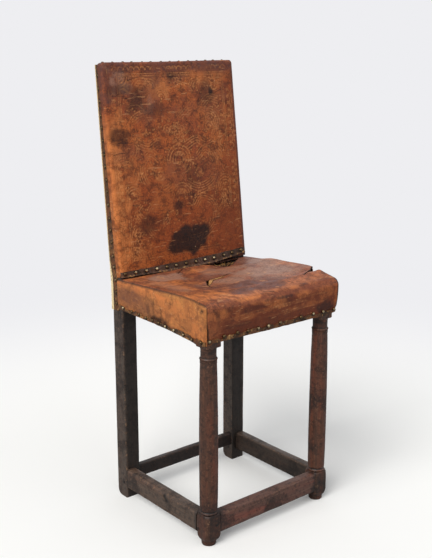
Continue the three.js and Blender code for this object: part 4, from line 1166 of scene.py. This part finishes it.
def tufts():
    """Wisps of straw that stand out of the long tear: thin tubes, each bent along a curve."""
    chance = np.random.default_rng(7)
    count = 46
    share = np.linspace(0, 1, 7)[:, None]
    foot = joined(chance.uniform(66, 152, count), chance.uniform(94, 112, count))
    way = chance.uniform(0, TURN, count)
    reach = chance.uniform(8, 20, count)
    ahead = joined(np.cos(way), 0.35 * np.sin(way))
    middle = foot[:, None] + ahead[:, None] * reach[:, None, None] * (share - 0.5)
    low = COVER_TOP + seat_rise(foot[:, 0], foot[:, 1]) - 9.0
    rise = chance.uniform(1.5, 5.5, count)
    height = low[:, None] + rise[:, None] * np.sin(math.pi * share[:, 0])
    centre = joined(middle[..., 0], middle[..., 1], height)
    angle = np.linspace(0, TURN, 5, endpoint=False)[:, None]
    thick = 0.42 * (1 - 0.6 * np.abs(share * 2 - 1))
    beside = joined(-np.sin(way), np.cos(way), 0)[:, None, None]
    ring = np.cos(angle) * beside + np.sin(angle) * np.array([0, 0, 1.0])
    piece = rings("seat_straw_wisps", centre[:, :, None] + ring * thick[..., None])
    dress(piece, "stuffing", raw_hide)


seat_top()
for word, side in SIDES:
    side_panel(word, side)
torn_flap()
hair_stuffing()
tufts()


# Seat underside


def webbing():
    """Three bands each way, woven over and under each other: a flat band whose height is a smooth
    wave that tops out where it passes over a crossing."""
    for word, other, axis in (("long", "cross", 1), ("cross", "long", 0)):
        crossings = [np.mean(span(f"seat_strap_{other}_{k}"), axis=0)[axis] for k in (1, 2, 3)]
        for k in (1, 2, 3):
            node = f"seat_strap_{word}_{k}"
            low, high = span(node)
            along, across = sheet_grid(141, 17)
            run = lerp(low[axis] + 0.5, high[axis] - 0.5, along)
            beside = lerp(low[1 - axis], high[1 - axis], across)
            height = WEBBING_LEVEL + 0.25 * cloudy(joined(run, beside, k * 40.0), 30, 180 + k, 2)
            for number, crossing in enumerate(crossings):
                over = 1 if (number + k + axis) % 2 else -1
                height += over * 1.15 * np.exp(-(((run - crossing) / 38) ** 4))
            outer = joined(*((beside, run) if axis else (run, beside)), height + 0.75)
            piece = shell(f"seat_webbing_{word}_{k}", outer, outer - [0, 0, 1.5])
            at = places(piece)
            dress(piece, "webbing", jute, node, warp=at[:, axis], weft=at[:, 1 - axis])


def sackcloth():
    """One cloth over the webbing, cut round the stiles: its width steps in behind their faces."""
    low, high = span("seat_sackcloth")
    front, step, rear = low[1], LEG_FRONT - 1.5, high[1] - 1
    wide, narrow = HALF - 3, HALF - LEG_WIDTH - 3
    along, across = sheet_grid(91, 101)
    y = lerp(front, rear, along)
    x = np.where(y < step, wide, narrow) * (across * 2 - 1)
    outer = joined(x, y, SACKING_LEVEL + 0.3 * cloudy(joined(x, y, 0), 60, 190, 2))
    piece = shell("seat_sacking", outer, outer - [0, 0, 1.0])
    at = places(piece)
    dress(piece, "webbing", sacking, "seat_sackcloth", warp=at[:, 0], weft=at[:, 1])


webbing()
sackcloth()


# Back cover

TOOL_STEP = 1.7  # the tooled surface's grid


def leaning(across, depth, rise):
    """A place of the leaning back in the chair's frame: depth and rise turn back by the rake about
    the bend."""
    y = LEG_FRONT + depth * math.cos(RAKE) + rise * math.sin(RAKE)
    z = BEND + rise * math.cos(RAKE) - depth * math.sin(RAKE)
    return joined(across, y, z)


def leaned(points):
    """The other way: points of the chair's frame as across, depth and rise."""
    y, z = points[..., 1] - LEG_FRONT, points[..., 2] - BEND
    depth = y * math.cos(RAKE) - z * math.sin(RAKE)
    return points[..., 0], depth, y * math.sin(RAKE) + z * math.cos(RAKE)


OUT_OF_BACK = leaning(0, -1.0, 0) - leaning(0, 0.0, 0)
UP_THE_BACK = leaning(0, 0.0, 1.0) - leaning(0, 0.0, 0)


def crowned(x, rise):
    """How far the padded back swells at a place: a parabola across it times a half wave up it."""
    along = clamp((rise - CROWN_START) / (BACK_LENGTH - CROWN_START))
    return BACK_CROWN * (1 - clamp(x / COVER_HALF, -1, 1) ** 2) * np.sin(math.pi * along)


def back_inset(way):
    """How far in from the back's outline the leather lies, and how far out, a way along it from its
    turned edge: up the wall, round the roll and over the face."""
    wall = BACK_LIFT - BACK_ROLL + FLAP_DEPTH
    angle = clamp((way - wall) / BACK_ROLL, 0, QUARTER)
    face = np.maximum(way - wall - BACK_ROLL * QUARTER, 0)
    inset = BACK_ROLL * (1 - np.cos(angle)) + face
    return inset, -FLAP_DEPTH + np.minimum(way, wall) + BACK_ROLL * np.sin(angle)


def back_leather(a, b):
    """The back cover, a along its width from the middle and b up it: the flat face, with its sides
    and its top turned round a roll into a wall. Where a side meets the top, both ways together give
    a level and a direction round the corner."""
    way_x = COVER_HALF - BACK_CORNER + EDGE_REACH - np.abs(a)
    way_y = COVER_TOP_RISE - BACK_CORNER + EDGE_REACH - b
    p, q = EDGE_REACH - way_x, EDGE_REACH - way_y
    inset, out = back_inset(np.minimum(way_x, way_y))
    length = np.maximum(np.hypot(p, q), 1e-6)
    radius = BACK_CORNER - inset
    both = []
    for edge, step, way in ((COVER_HALF, p, way_x), (COVER_TOP_RISE, q, way_y)):
        place = np.where(step > 0, edge - back_inset(way)[0], edge - BACK_CORNER + step)
        corner = edge - BACK_CORNER + radius * step / length
        both.append(np.where((p > 0) & (q > 0), corner, place))
    x, rise = both
    out = out + crowned(x, rise) * (out + FLAP_DEPTH) / (BACK_LIFT + FLAP_DEPTH)
    return np.sign(a) * x, out, rise


def arc(x, rise, radius, start=0, end=360):
    """Points along part of a circle, angles in degrees."""
    angle = np.radians(np.linspace(start, end, max(int(radius * abs(end - start) / 40), 12)))
    return joined(x + radius * np.cos(angle), rise + radius * np.sin(angle))


def scroll(x, rise, radius, turns, start, way):
    """Points along a spiral whose radius grows evenly from a fifth to the whole."""
    share = np.linspace(0, 1, 160)
    angle = math.radians(start) + way * TURN * turns * share
    reach = radius * lerp(0.2, 1.0, share)
    return joined(x + reach * np.cos(angle), rise + reach * np.sin(angle))


def line(x0, rise0, x1, rise1):
    """Points at even steps along a straight line."""
    share = np.linspace(0, 1, 240)
    return joined(x0 + share * (x1 - x0), rise0 + share * (rise1 - rise0))


def ribbon(points, count=4, gap=6.2):
    """Parallel lines along a smooth curve through a few points, each moved sideways from it."""
    at = np.linspace(0, len(points) - 1, 60 * len(points))
    middle = joined(*(flowing(at, list(enumerate(part))) for part in np.array(points, float).T))
    slope = np.gradient(middle, axis=0)
    beside = joined(-slope[:, 1], slope[:, 0]) / np.linalg.norm(slope, axis=1, keepdims=True)
    return [middle + beside * gap * (k - (count - 1) / 2) for k in range(count)]


RIBBONS = [  # across and rise of places on the middle of each band of lines
    [(10, 90), (60, 96), (104, 130), (100, 178), (62, 196), (40, 176)],
    [(20, 238), (58, 222), (104, 240), (116, 286), (88, 318), (60, 300)],
    [(26, 330), (60, 344), (92, 332), (128, 352), (130, 396), (98, 412), (84, 392)],
    [(18, 400), (46, 420), (80, 424), (112, 446), (142, 440)],
]
SCROLLS = [  # across, rise, radius, angle at the start and way of turning
    (62, 262, 17, 200, 1), (104, 374, 17, 160, -1), (72, 136, 18, 90, -1),
    (132, 478, 17, 270, 1), (134, 302, 16, 180, 1), (30, 372, 13, 270, 1),
]
RIPPLES = [  # across, rise, share of the radius, start and end of groups of concentric arcs
    (160, 505, 1, 180, 270), (160, 62, 1, 90, 180), (158, 271, 1, 60, 230), (146, 216, 1, 40, 200),
    (150, 330, 1, 100, 250), (96, 470, 1, 10, 150), (40, 452, 0.8, 30, 190), (128, 118, 1, 0, 130),
    (0, 206, 1, 0, 90), (0, 296, 1.2, -90, 90), (66, 160, 0.8, 200, 340),
]


def tooling():
    """The lines pressed into the back, drawn for its right half and mirrored: border lines and a
    scalloped band, and inside them bands of parallel lines that curl as C and S scrolls, groups of
    concentric arcs, fans, leaves and scales round a rosette, all of the common tooled kind."""
    right = [line(160, 62, 160, 505), line(165, 57, 165, 510), line(190, 50, 190, 520)]
    right += [line(0, 505, 160, 505), line(0, 510, 165, 510), line(0, 60, 165, 60), line(0, 66, 160, 66)]
    right += [arc(177, rise, 8, -90, 90) for rise in np.arange(66, 508, 17)]
    right += [arc(177, rise + 8.5, 3) for rise in np.arange(66, 508, 17)]
    right += [arc(x, 519, 7, 0, 180) for x in np.arange(8, 170, 16)]
    for radius in (10, 17, 24, 31):
        right += [arc(x, rise, radius * share, *ends) for x, rise, share, *ends in RIPPLES]
    for points in RIBBONS:
        right += ribbon(points)
    right += ribbon([(14, 486), (52, 476), (66, 490), (110, 494)], 3)
    right += ribbon([(126, 160), (140, 180), (128, 196)], 3)
    for x, rise, radius, start, way in SCROLLS:
        right += [scroll(x, rise, radius, 1.6, start, way), scroll(x, rise, radius - 4, 1.4, start, way)]
    for low, high, start, end in ((78, 206, 134, 152), (404, 500, 5, 24)):
        for row, rise in enumerate(np.arange(low, high, 9)):
            right += [arc(x + 5 * (row % 2), rise, 5, 0, 180) for x in np.arange(start, end, 10)]
    right += [line(146, 398, 184, 398 + gap) for gap in (0, 6, 12)]
    right += [line(60 + gap, 206, 104, 212 + gap) for gap in (0, 6, 12)]
    petals = np.radians(np.linspace(-90, 90, 200))
    for reach in (24, 17, 9):
        flower = reach + 0.2 * reach * np.cos(8 * petals)
        right.append(joined(flower * np.cos(petals), 359 + flower * np.sin(petals)))
    chance = np.random.default_rng(21)
    spots = joined(chance.uniform(0, 158, 420), chance.uniform(70, 500, 420))
    right += [arc(x, rise, 1.2) for x, rise in spots]
    drawn = np.concatenate(right)
    return np.concatenate([drawn, drawn * [-1, 1]])


def pressed(a, b, drawn, width):
    """How near each point of an even grid is to a drawn line: every drawn point raises the grid
    points round it by a bell of the line's width."""
    depth = np.zeros(a.shape)
    column = (drawn[:, 0] - a[0, 0]) / TOOL_STEP
    row = (drawn[:, 1] - b[0, 0]) / TOOL_STEP
    for row_step, column_step in np.ndindex(4, 4):
        at_row = np.floor(row).astype(int) + row_step - 1
        at_column = np.floor(column).astype(int) + column_step - 1
        away = np.hypot(at_row - row, at_column - column) * TOOL_STEP
        inside = (at_row >= 0) & (at_row < a.shape[0]) & (at_column >= 0) & (at_column < a.shape[1])
        value = np.exp(-((away[inside] / width) ** 2))
        np.maximum.at(depth, (at_row[inside], at_column[inside]), value)
    return depth


def back_front():
    """The tooled front leather: its surface with lumps and pressed lines, and a plain underside."""
    half = COVER_HALF - BACK_CORNER + EDGE_REACH
    top = COVER_TOP_RISE - BACK_CORNER + EDGE_REACH
    columns = int(2 * half / TOOL_STEP) // 3 * 3 + 1
    rows = int((top - COVER_RISE) / TOOL_STEP) // 3 * 3 + 1
    column_at = (np.arange(columns) - (columns - 1) / 2) * (2 * half / (columns - 1))
    row_at = COVER_RISE + np.arange(rows) * ((top - COVER_RISE) / (rows - 1))
    a, b = np.meshgrid(column_at, row_at)
    x, out, rise = back_leather(a, b)
    rise = rise + top_lift(x) * smooth((rise - 500) / 30)
    drawn_x, drawn_rise = tooling().T
    x_step, rise_step = column_at[1] - column_at[0], row_at[1] - row_at[0]
    scaled = joined(
        drawn_x * TOOL_STEP / x_step + (a[0, 0] - a[0, 0] * TOOL_STEP / x_step),
        b[0, 0] + (drawn_rise - b[0, 0]) * TOOL_STEP / rise_step,
    )
    tool = pressed(a, b, scaled, 1.25)
    groove = clamp(pressed(a, b, scaled, 3.2) - tool)
    place = joined(x, rise, 0)
    face = smooth((out - 2) / 4)
    kept = clamp(0.44 + 1.9 * cloudy(place, 38, 200, 4), 0.05, 1)
    rough = 1.3 * cloudy(place, 110, 203, 2) + 0.45 * cloudy(place, 26, 206, 3)
    surface = leaning(x, -out - face * (rough - 0.8 * groove * kept), rise)
    plain = leaning(x, -out - face * rough, rise)
    inner = plain - grid_normals(plain, (0, -1, 0)) * LEATHER
    piece = shell("back_tooled_cover", surface, inner[::3, ::3], 50)
    masks = back_masks(*leaned(places(piece)))
    for name, values in (("tool", tool), ("groove", groove)):
        masks[name] = np.zeros(len(piece.data.vertices))
        masks[name][: values.size] = (values * kept * face).ravel()
    dress(piece, "back_leather", back_hide, "back_front_leather", **masks)


def back_masks(x, depth, rise):
    """Masks of the back leather, by place on its face: a large dark stain low down, smaller dark
    patches, a mauve top, rubbed tan along the left side, a painted pale sheen on the upper left and
    painted shade along its foot."""
    face = depth < 0
    stain = spread(x, rise, [
        (-168, 362, 22, 22, 0.75), (101, 461, 24, 30, 0.5), (120, 462, 6, 8, 0.95),
        (-118, 443, 30, 24, 0.7), (-138, 446, 7, 5, 0.9), (-12, 179, 13, 9, 0.7),
        (-110, 144, 24, 20, 0.6), (-8, 503, 16, 13, 0.7), (-150, 470, 34, 12, 0.5),
        (40, 250, 22, 24, 0.4), (-60, 420, 30, 16, 0.4),
    ], 210, 0.55)
    blot = [(15, 89, 62, 34, 1.0), (54, 108, 38, 24, 1.0), (-26, 78, 33, 24, 0.95)]
    stain = np.maximum(stain, spread(x, rise, blot, 211, 0.26, 2.4))
    torn = scratched(x, rise, [
        (-198, 345, 64, 0.0, 2), (112, 495, 22, -0.5, 1), (-140, 492, 40, 0.25, 2),
        (-196, 318, 40, 0.12, 2), (128, 455, 30, 0.4, 1), (-150, 452, 56, -0.12, 3),
    ], 0.9)
    plum = spread(x, rise, [
        (-165, 505, 60, 50, 0.8), (-20, 510, 60, 30, 0.75), (120, 520, 90, 20, 0.6),
        (-150, 325, 40, 20, 0.5), (30, 262, 70, 60, 0.4), (-90, 430, 70, 50, 0.5),
        (110, 440, 60, 50, 0.45), (20, 400, 60, 30, 0.3),
    ], 213, 0.6)
    worn_part = spread(x, rise, [
        (-184, 250, 20, 120, 1.0), (-180, 120, 18, 90, 0.8), (-150, 290, 40, 60, 0.4),
        (-60, 480, 50, 26, 0.7), (110, 500, 60, 20, 0.5), (130, 420, 50, 60, 0.35),
        (-150, 80, 40, 40, 0.35), (-60, 250, 50, 60, 0.25),
    ], 216, 0.6)
    # Painted sheen: pale patches on the upper left.
    shine = [(-176, 496, 22, 20, 0.6), (-130, 478, 34, 14, 0.45), (-96, 428, 30, 22, 0.3)]
    broken = clamp(0.55 + 1.6 * cloudy(joined(x, rise, 0), 15, 223, 3))
    edge = 0.95 * smooth((-x - 170) / 18) * smooth((440 - rise) / 90)
    near_top = clamp(0.8 + 1.1 * cloudy(joined(x, rise, 0), 26, 219, 4))
    near_left = 0.6 * near_top * smooth((-x - 180) / 14) * smooth((rise - 400) / 60)
    near_right = 0.9 * smooth((x - 190) / 5)
    rim = smooth((depth + 1.0) / 3)
    return {
        "stain": clamp(np.maximum(np.maximum(stain, torn * face), 0.25 * rim)),
        "shine": spread(x, rise, shine, 222, 1.3) * face * broken,
        "deep": clamp(0.4 * smooth((330 - rise) / 160) + 0.35 * smooth((x - 60) / 120)),
        "plum": clamp(plum + near_right + smooth((rise - 508) / 20) * near_top + near_left),
        "worn": np.maximum(worn_part, edge),
        # Painted shade along the foot of the face, by the base strip's lip.
        "seam": 0.7 * smooth(1 - (rise - 27) / 6) * face,
    }


def back_padding():
    """Padding behind the front leather: the leather's form a little smaller, flat behind."""
    across, up = sheet_grid(81, 101)
    half, low, high = COVER_HALF - STUFFING_MARGIN, 26, BACK_LENGTH - 0.3
    x = lerp(-half, half, across)
    rise = lerp(low, high, up)
    inside = np.minimum(np.minimum(half - np.abs(x), high - rise), rise - low + 4)
    full = BACK_LIFT - LEATHER - 1.4 + crowned(x, rise)
    full = full * np.sqrt(1 - (1 - clamp(inside / 4)) ** 2) + 0.2
    full = np.maximum(full + 0.5 * cloudy(joined(x, rise, 0), 40, 220, 3) - 1.2, 0.3)
    piece = shell("back_hair_padding", leaning(x, -1.4 - full, rise), leaning(x, -1.5, rise))
    dress(piece, "stuffing", stuffing, "back_padding")


def back_linen():
    """Linen drawn tight between the stiles, on their front faces."""
    up, across = sheet_grid(91, 71)
    half, low, high = HALF - 3, 28, BACK_LENGTH - 3
    x = lerp(-half, half, across)
    rise = lerp(low, high, up)
    piece = shell("back_linen_panel", leaning(x, -1.2, rise), leaning(x, -0.4, rise))
    at = places(piece)
    dress(piece, "webbing", sacking, "back_linen", warp=at[:, 0], weft=leaned(at)[2])


def rear_wrap(height):
    """How far the rear leather comes round the side of a stile at a height."""
    return through(height, [(502, 10.5), (588, 9.5), (620, 4.0), (700, 2.0), (1100, 1.2)])


def rear_cover():
    """The hide over the rear: a sheet across both stiles, turned a little way round their sides."""
    height, across = sheet_grid(181, 131)
    turn_at, round_it = HALF + 1.6, 12.5
    z = lerp(COVER_LOW, REAR_TOP + top_lift((across * 2 - 1) * HALF), height)
    place = joined((across - 0.5) * 420, z, 0)
    z = z + (1 - height) * 1.6 * cloudy(place, 26, 230, 3)
    a = (across * 2 - 1) * (turn_at + round_it)
    past = np.maximum(np.abs(a) - turn_at, 0) / round_it
    wrap = rear_wrap(z) * past
    angle = clamp(wrap / 2.2, 0, QUARTER)
    x = np.sign(a) * np.minimum(np.abs(a), turn_at) + np.sign(a) * REAR_TURN * np.sin(angle)
    face = stile_line(z)[1] + 2.8 - REAR_TURN * (1 - np.cos(angle)) - np.maximum(wrap - 2.0, 0)
    rough = (0.5 * cloudy(place, 60, 233, 3) - 0.4) * (past <= 0)
    outer = joined(x, face + rough, z)
    piece = shell("back_rear_hide", outer, outer - grid_normals(outer, (0, 1, 0)) * REAR_HIDE, 60)
    x, _, z = places(piece).T
    rim = smooth((np.abs(x) - HALF - 1.2) / 1.2)
    stain = [(60, 800, 80, 60, 0.35), (-90, 980, 50, 70, 0.3), (-120, 620, 60, 60, 0.4)]
    masks = {
        "stain": spread(x, z, [*stain, (0, 1080, 190, 16, 0.4)], 236, 0.6) * (1 - rim),
        "raw": rim,
        "plum": spread(x, z, [(90, 1000, 90, 60, 0.5), (-60, 700, 90, 70, 0.4)], 239, 0.6),
    }
    dress(piece, "rear_leather", rear_hide, "back_rear_leather", **masks)


back_front()
back_padding()
back_linen()
rear_cover()


# Edge strips and nails

# (across, rise) along the two edges of the base strip
BASE_LOW = [(-197, 24), (-119, 22.5), (-42, 20.5), (40, 20), (90, 20.5), (140, 26), (197, 33)]
BASE_HIGH = [(-197, 37), (-119, 37), (-42, 38.5), (40, 40), (90, 41.5), (140, 43.5), (197, 47)]


def band(part, outer, outward, seed, torn, kept=0.75, greyed=0.0, thick=1.5):
    """A nailed edge strip: a thin sheet between two ragged edges, `outward` its face's direction.
    `kept` is how much of the cover's brown it still has, and `greyed` how mauve-grey it is."""
    outward = np.broadcast_to(np.array(outward, float), outer.shape)
    outer = outer + outward * (0.35 * cloudy(outer, 14, seed, 3))[..., None]
    piece = shell(f"{part}_edging", outer, outer - outward * thick, 55)
    at = places(piece)
    masks = {
        "torn": np.broadcast_to(clamp(torn(*at.T)), len(at)),
        "brown": clamp(kept + 1.2 * cloudy(at, 34, seed + 2, 3)),
        "plum": greyed * clamp(0.7 + cloudy(at, 24, seed + 3, 3)),
        "dirt": clamp(0.5 + cloudy(at, 30, seed + 1, 3)) * 0.5,
    }
    dress(piece, "strip_leather", edging, f"{part}_strip", **masks)


def ragged(at, size, reach, seed):
    """How far a torn edge wanders at a place along it."""
    return reach * cloudy(joined(at, seed * 7.0, 0), size, seed, 4)


def foot_heights(at, up, low_line, wander, width, seed):
    """Heights of a strip along the foot of the seat: up from the leather's lower edge by a ragged
    width."""
    low = through(at, low_line) + ragged(at, 9, wander, seed) - 0.2
    return low + np.maximum(width + ragged(at, 20, 9, seed + 3), 3.5) * up


def seat_strips():
    """Along the foot of the front and of both side panels."""
    up, along = sheet_grid(9, 201)
    x = lerp(-198.5, 201.0, along)
    z = foot_heights(x, up, FRONT_LOW, 0.8, 10, 250)
    outer = full_corner(x, COVER_FRONT - BULGE + wall_bulge(z) - STRIP_OFF, z)
    band("seat_front", outer, (0, -1, 0), 256,
         lambda x, y, z: 0.55 + smooth((x - 120) / 60) + smooth((-80 - x) / 60) * 0.3)
    up, along = sheet_grid(9, 171)
    y = lerp(-203.0, LEG_FRONT + 9.0, along)
    for word, side in SIDES:
        z = foot_heights(y, up, LEFT_LOW if side < 0 else RIGHT_LOW, 0.9, 10.5, 260 + side)
        outer = full_corner(side * (wall_x(z) + STRIP_OFF), y, z)
        band(f"seat_{word}", outer, (side, 0, 0), 266 + side,
             lambda x, y, z: 0.75 + 0.25 * np.sin(y / 30))


def back_base_strip():
    """Across the foot of the back, tilted up to the right, its lower lip curled forward and its left
    end turned back with the leather's roll."""
    up, along = sheet_grid(13, 181)
    x = lerp(-202.6, 197.0, along)
    low = through(x, BASE_LOW) + ragged(x, 12, 1.0, 270)
    rise = lerp(low, through(x, BASE_HIGH) + ragged(x, 16, 1.2, 273), up)
    over = clamp((np.abs(x) - COVER_HALF + BACK_ROLL) / BACK_ROLL)
    back = BACK_ROLL * (1 - np.sqrt(1 - over**2))
    lip = 1.8 * smooth(1 - up * 4)
    outer = leaning(x, back - (BACK_LIFT + crowned(x, rise)) - 2.4 - lip, rise)

    def torn(x, y, z):
        """Most along the lower lip, fading out up the strip."""
        return 1.3 * smooth(1.5 - (leaned(joined(x, y, z))[2] - through(x, BASE_LOW)) / 3.6)

    band("back_base", outer, OUT_OF_BACK, 276, torn, 0.15, 0.9)


def side_strip_edges(height):
    """Front and rear y of a side strip at a height, in front of the rear leather's turned edge."""
    front, rear = stile_line(height)
    return front + (FLAP_DEPTH + 0.5) / math.cos(RAKE), rear - rear_wrap(height) - 0.6


def back_edge_strips():
    """Down the outer faces of the stiles, from the worn top corners to the seat's lower edge, and
    along the top, behind the turned-over leather."""
    height, across = sheet_grid(201, 7)
    for word, side in SIDES:
        z = lerp(COVER_LOW + 0.5, SIDE_STRIP_TOP + top_lift(side * HALF), height)
        front, rear = side_strip_edges(z)
        y = lerp(front + ragged(z, 14, 0.5, 280 + side), rear + ragged(z, 10, 0.9, 283 + side), across)
        band(f"back_{word}", joined(side * (HALF + 2.0), y, z), (side, 0, 0), 286 + side,
             lambda x, y, z: 0.15 + 0.4 * smooth(1 - (z - 640) / 60))
    along, across = sheet_grid(151, 7)
    x = lerp(-HALF + 7, HALF - 7, along)
    depth = lerp(FLAP_DEPTH + 0.4, STILE_TOP_DEPTH - 0.4, across)
    outer = leaning(x, depth, BACK_LENGTH + 2.2 + top_lift(x))
    band("back_top", outer, UP_THE_BACK, 290, lambda x, y, z: 0.1, thick=1.6)


def nails(part, feet, outward, seed, radius=4.5, rise=2.8, shine=1.0):
    """Domed nail heads in one piece: each a short rim and a dome of rings, set at a foot point, tipped
    a little and turned to face outward. The strip is darkened in rings round them, soiling and
    painted contact shade."""
    chance = np.random.default_rng(seed)
    count = len(feet)
    tipped = outward + chance.normal(0, 0.07, feet.shape)
    tipped /= np.linalg.norm(tipped, axis=-1, keepdims=True)
    beside = np.cross(tipped, [0.3, 0.5, 0.81])
    beside /= np.linalg.norm(beside, axis=-1, keepdims=True)
    third = np.cross(tipped, beside)
    size = chance.uniform(0.9, 1.05, count)[:, None]
    profile = np.array([(0.98, -0.4), (1.0, 0.02), (0.95, 0.3), (0.78, 0.66), (0.45, 0.92), (0.14, 1.0)])
    reach, height = profile.T
    angle = np.linspace(0, TURN, 11, endpoint=False)[:, None]
    circle = np.cos(angle) * beside[:, None] + np.sin(angle) * third[:, None]
    points = feet[:, None, None] + (reach * radius * size)[..., None, None] * circle[:, None]
    points = points + (height * rise * size)[..., None, None] * tipped[:, None, None]
    crown = np.broadcast_to(height[:, None], points.shape[:3])
    bright = shine * chance.uniform(0.3, 1.0, count)[:, None, None] ** 1.5
    piece = rings(f"{part}_nails", points, 60)
    dress(piece, "brass_nails", brass, crown=crown, bright=np.broadcast_to(bright, crown.shape))
    # Dark rings round the nails on the strip: soiling and painted contact shade.
    strip = bpy.data.objects[f"{part}_edging"]
    away = np.linalg.norm(places(strip)[:, None] - feet, axis=-1).min(axis=1)
    layer = strip.data.attributes["dirt"].data
    dirt = np.empty(len(layer), np.float32)
    layer.foreach_get("value", dirt)
    layer.foreach_set("value", np.maximum(dirt, smooth((radius + 3.5 - away) / 2.5)).astype(np.float32))


def strip_nails():
    """Nail rows at their places along each strip, a few of them lost."""
    chance = np.random.default_rng(3)
    x, z = np.array([
        (-198, 509), (-155, 513), (-116, 514), (-84, 511), (-53, 511.5), (-22, 511.5),
        (16, 512), (84, 512), (125, 513), (158, 512), (193, 512),
    ]).T
    nails("seat_front", full_corner(x, COVER_FRONT + 0.2 - NAIL_OFF, z), (0, -1, 0), 301, shine=0.85)
    y, z = np.array([
        (112, 517), (76, 515.5), (46, 515), (17, 513.5), (-9, 513), (-33, 512),
        (-60, 510.5), (-92, 509), (-127, 506.5), (-158, 503), (-190, 504),
    ]).T
    nails("seat_left", joined(-COVER_HALF - NAIL_OFF, y, z), (-1, 0, 0), 303, 4.0, 2.8, 1.6)
    y = np.linspace(-186, 108, 11) + chance.uniform(-4, 4, 11)
    feet = full_corner(COVER_HALF + NAIL_OFF, y, through(y, RIGHT_LOW) + 12)
    nails("seat_right", feet, (1, 0, 0), 305)
    x = np.linspace(-192, 184, 13) + chance.uniform(-2, 2, 13)
    rise = (through(x, BASE_LOW) + through(x, BASE_HIGH)) / 2 + 1.5
    feet = leaning(x, -(BACK_LIFT + crowned(x, rise)) - 2.6, rise)
    nails("back_base", feet, OUT_OF_BACK, 307, 4.6, 3.2, 1.15)
    for word, side in SIDES:
        z = np.linspace(518, 1068, 19) + chance.uniform(-2.5, 2.5, 19)
        feet = joined(side * (HALF + 2.1), lerp(*side_strip_edges(z), 0.5), z)
        nails(f"back_{word}", feet, (side, 0, 0), 309 + side, 4.0, 2.6, 0.55)
    x = np.linspace(-186, 186, 14) + chance.uniform(-2, 2, 14)
    feet = leaning(x, 17.0, BACK_LENGTH + 2.6 + top_lift(x))
    nails("back_top", feet, UP_THE_BACK, 313, 4.4, 4.0, 0.3)


seat_strips()
back_base_strip()
back_edge_strips()
strip_nails()


# Stage, light and camera


def stage_floor():
    """A round pale floor, flat out to a wide rim. The camera sees it paler than the light it throws
    back, and further off it is lifted to the backdrop's level; it keeps the chair's shadow."""
    radius = np.array([0.001, 300, 900, 2000, 4200, 9000])[:, None]
    angle = np.linspace(0, TURN, 72, endpoint=False)
    flat = joined(radius * np.cos(angle), radius * np.sin(angle), 0)
    under = flat + [0, 0, -20.0]
    piece = rings("studio_floor", np.concatenate([flat, under[::-1]]), 30)
    paper = Finish("floor paper", (176, 176, 176), 0.95, 0.05)
    seen = paper.node("LightPath").outputs["Is Camera Ray"]
    paper.coat((247, 247, 245), seen)
    length = paper.node("VectorMath", {0: paper.place}, operation="LENGTH").outputs["Value"]
    far = paper.between(length, 0.35, 2.4)
    paper.done()
    glow = paper.node("Emission", {"Color": srgb(*BACKDROP)}).outputs[0]
    share = paper.times(seen, paper.between(far, 0, 1, 0.05, 1.0))
    mix = paper.node("MixShader", {0: share, 1: paper.shader.outputs[0], 2: glow})
    feed(paper.tree, paper.tree.nodes["Material Output"].inputs["Surface"], mix.outputs[0])
    piece.data.materials.append(paper.material)


def lamp(name, towards, strength, spread_angle, colour=(1.0, 1.0, 1.0)):
    """A broad soft light that shines evenly from one direction, given as the way towards it."""
    light = bpy.data.lights.new(name, "SUN")
    light.energy = strength
    light.angle = math.radians(spread_angle)
    light.color = colour
    x, y, z = towards
    turn = (math.atan2(math.hypot(x, y), z), 0, math.atan2(x, -y))
    add_object(name, light).rotation_euler = turn


def surroundings():
    """An even pale world: lit plainly, and shown as a pale backdrop to the camera and in gloss."""
    world = bpy.data.worlds.new("studio")
    bpy.context.scene.world = world
    world.use_nodes = True
    tree = world.node_tree
    tree.nodes.clear()
    rays = add_node(tree, "LightPath").outputs
    either = {0: rays["Is Camera Ray"], 1: rays["Is Glossy Ray"]}
    shown = add_node(tree, "Math", either, operation="MAXIMUM").outputs[0]
    lit = add_node(tree, "Background", {"Color": (0.95, 0.97, 1.0, 1.0), "Strength": 0.42})
    seen = add_node(tree, "Background", {"Color": srgb(*BACKDROP)})
    mix = add_node(tree, "MixShader", {0: shown, 1: lit.outputs[0], 2: seen.outputs[0]})
    add_node(tree, "OutputWorld", {"Surface": mix.outputs[0]})


def photographed_view():
    """A camera at the place and turn that the chair's straight edges gave in a fit."""
    camera = bpy.data.cameras.new("view")
    camera.lens = 59.18
    camera.sensor_width = 36
    camera.sensor_fit = "AUTO"
    camera.clip_end = 60
    holder = add_object("view", camera)
    holder.location = (-1.4096, -1.6913, 1.1360)
    holder.rotation_euler = (math.radians(90 - 14.214), 0, math.radians(-39.715))
    bpy.context.scene.camera = holder


stage_floor()
surroundings()
lamp("key", (-0.80, -0.24, 0.75), 2.8, 42, (1.0, 0.985, 0.96))
lamp("fill", (0.25, -0.75, 0.6), 0.45, 60)
photographed_view()
bpy.context.scene.view_settings.view_transform = "Standard"
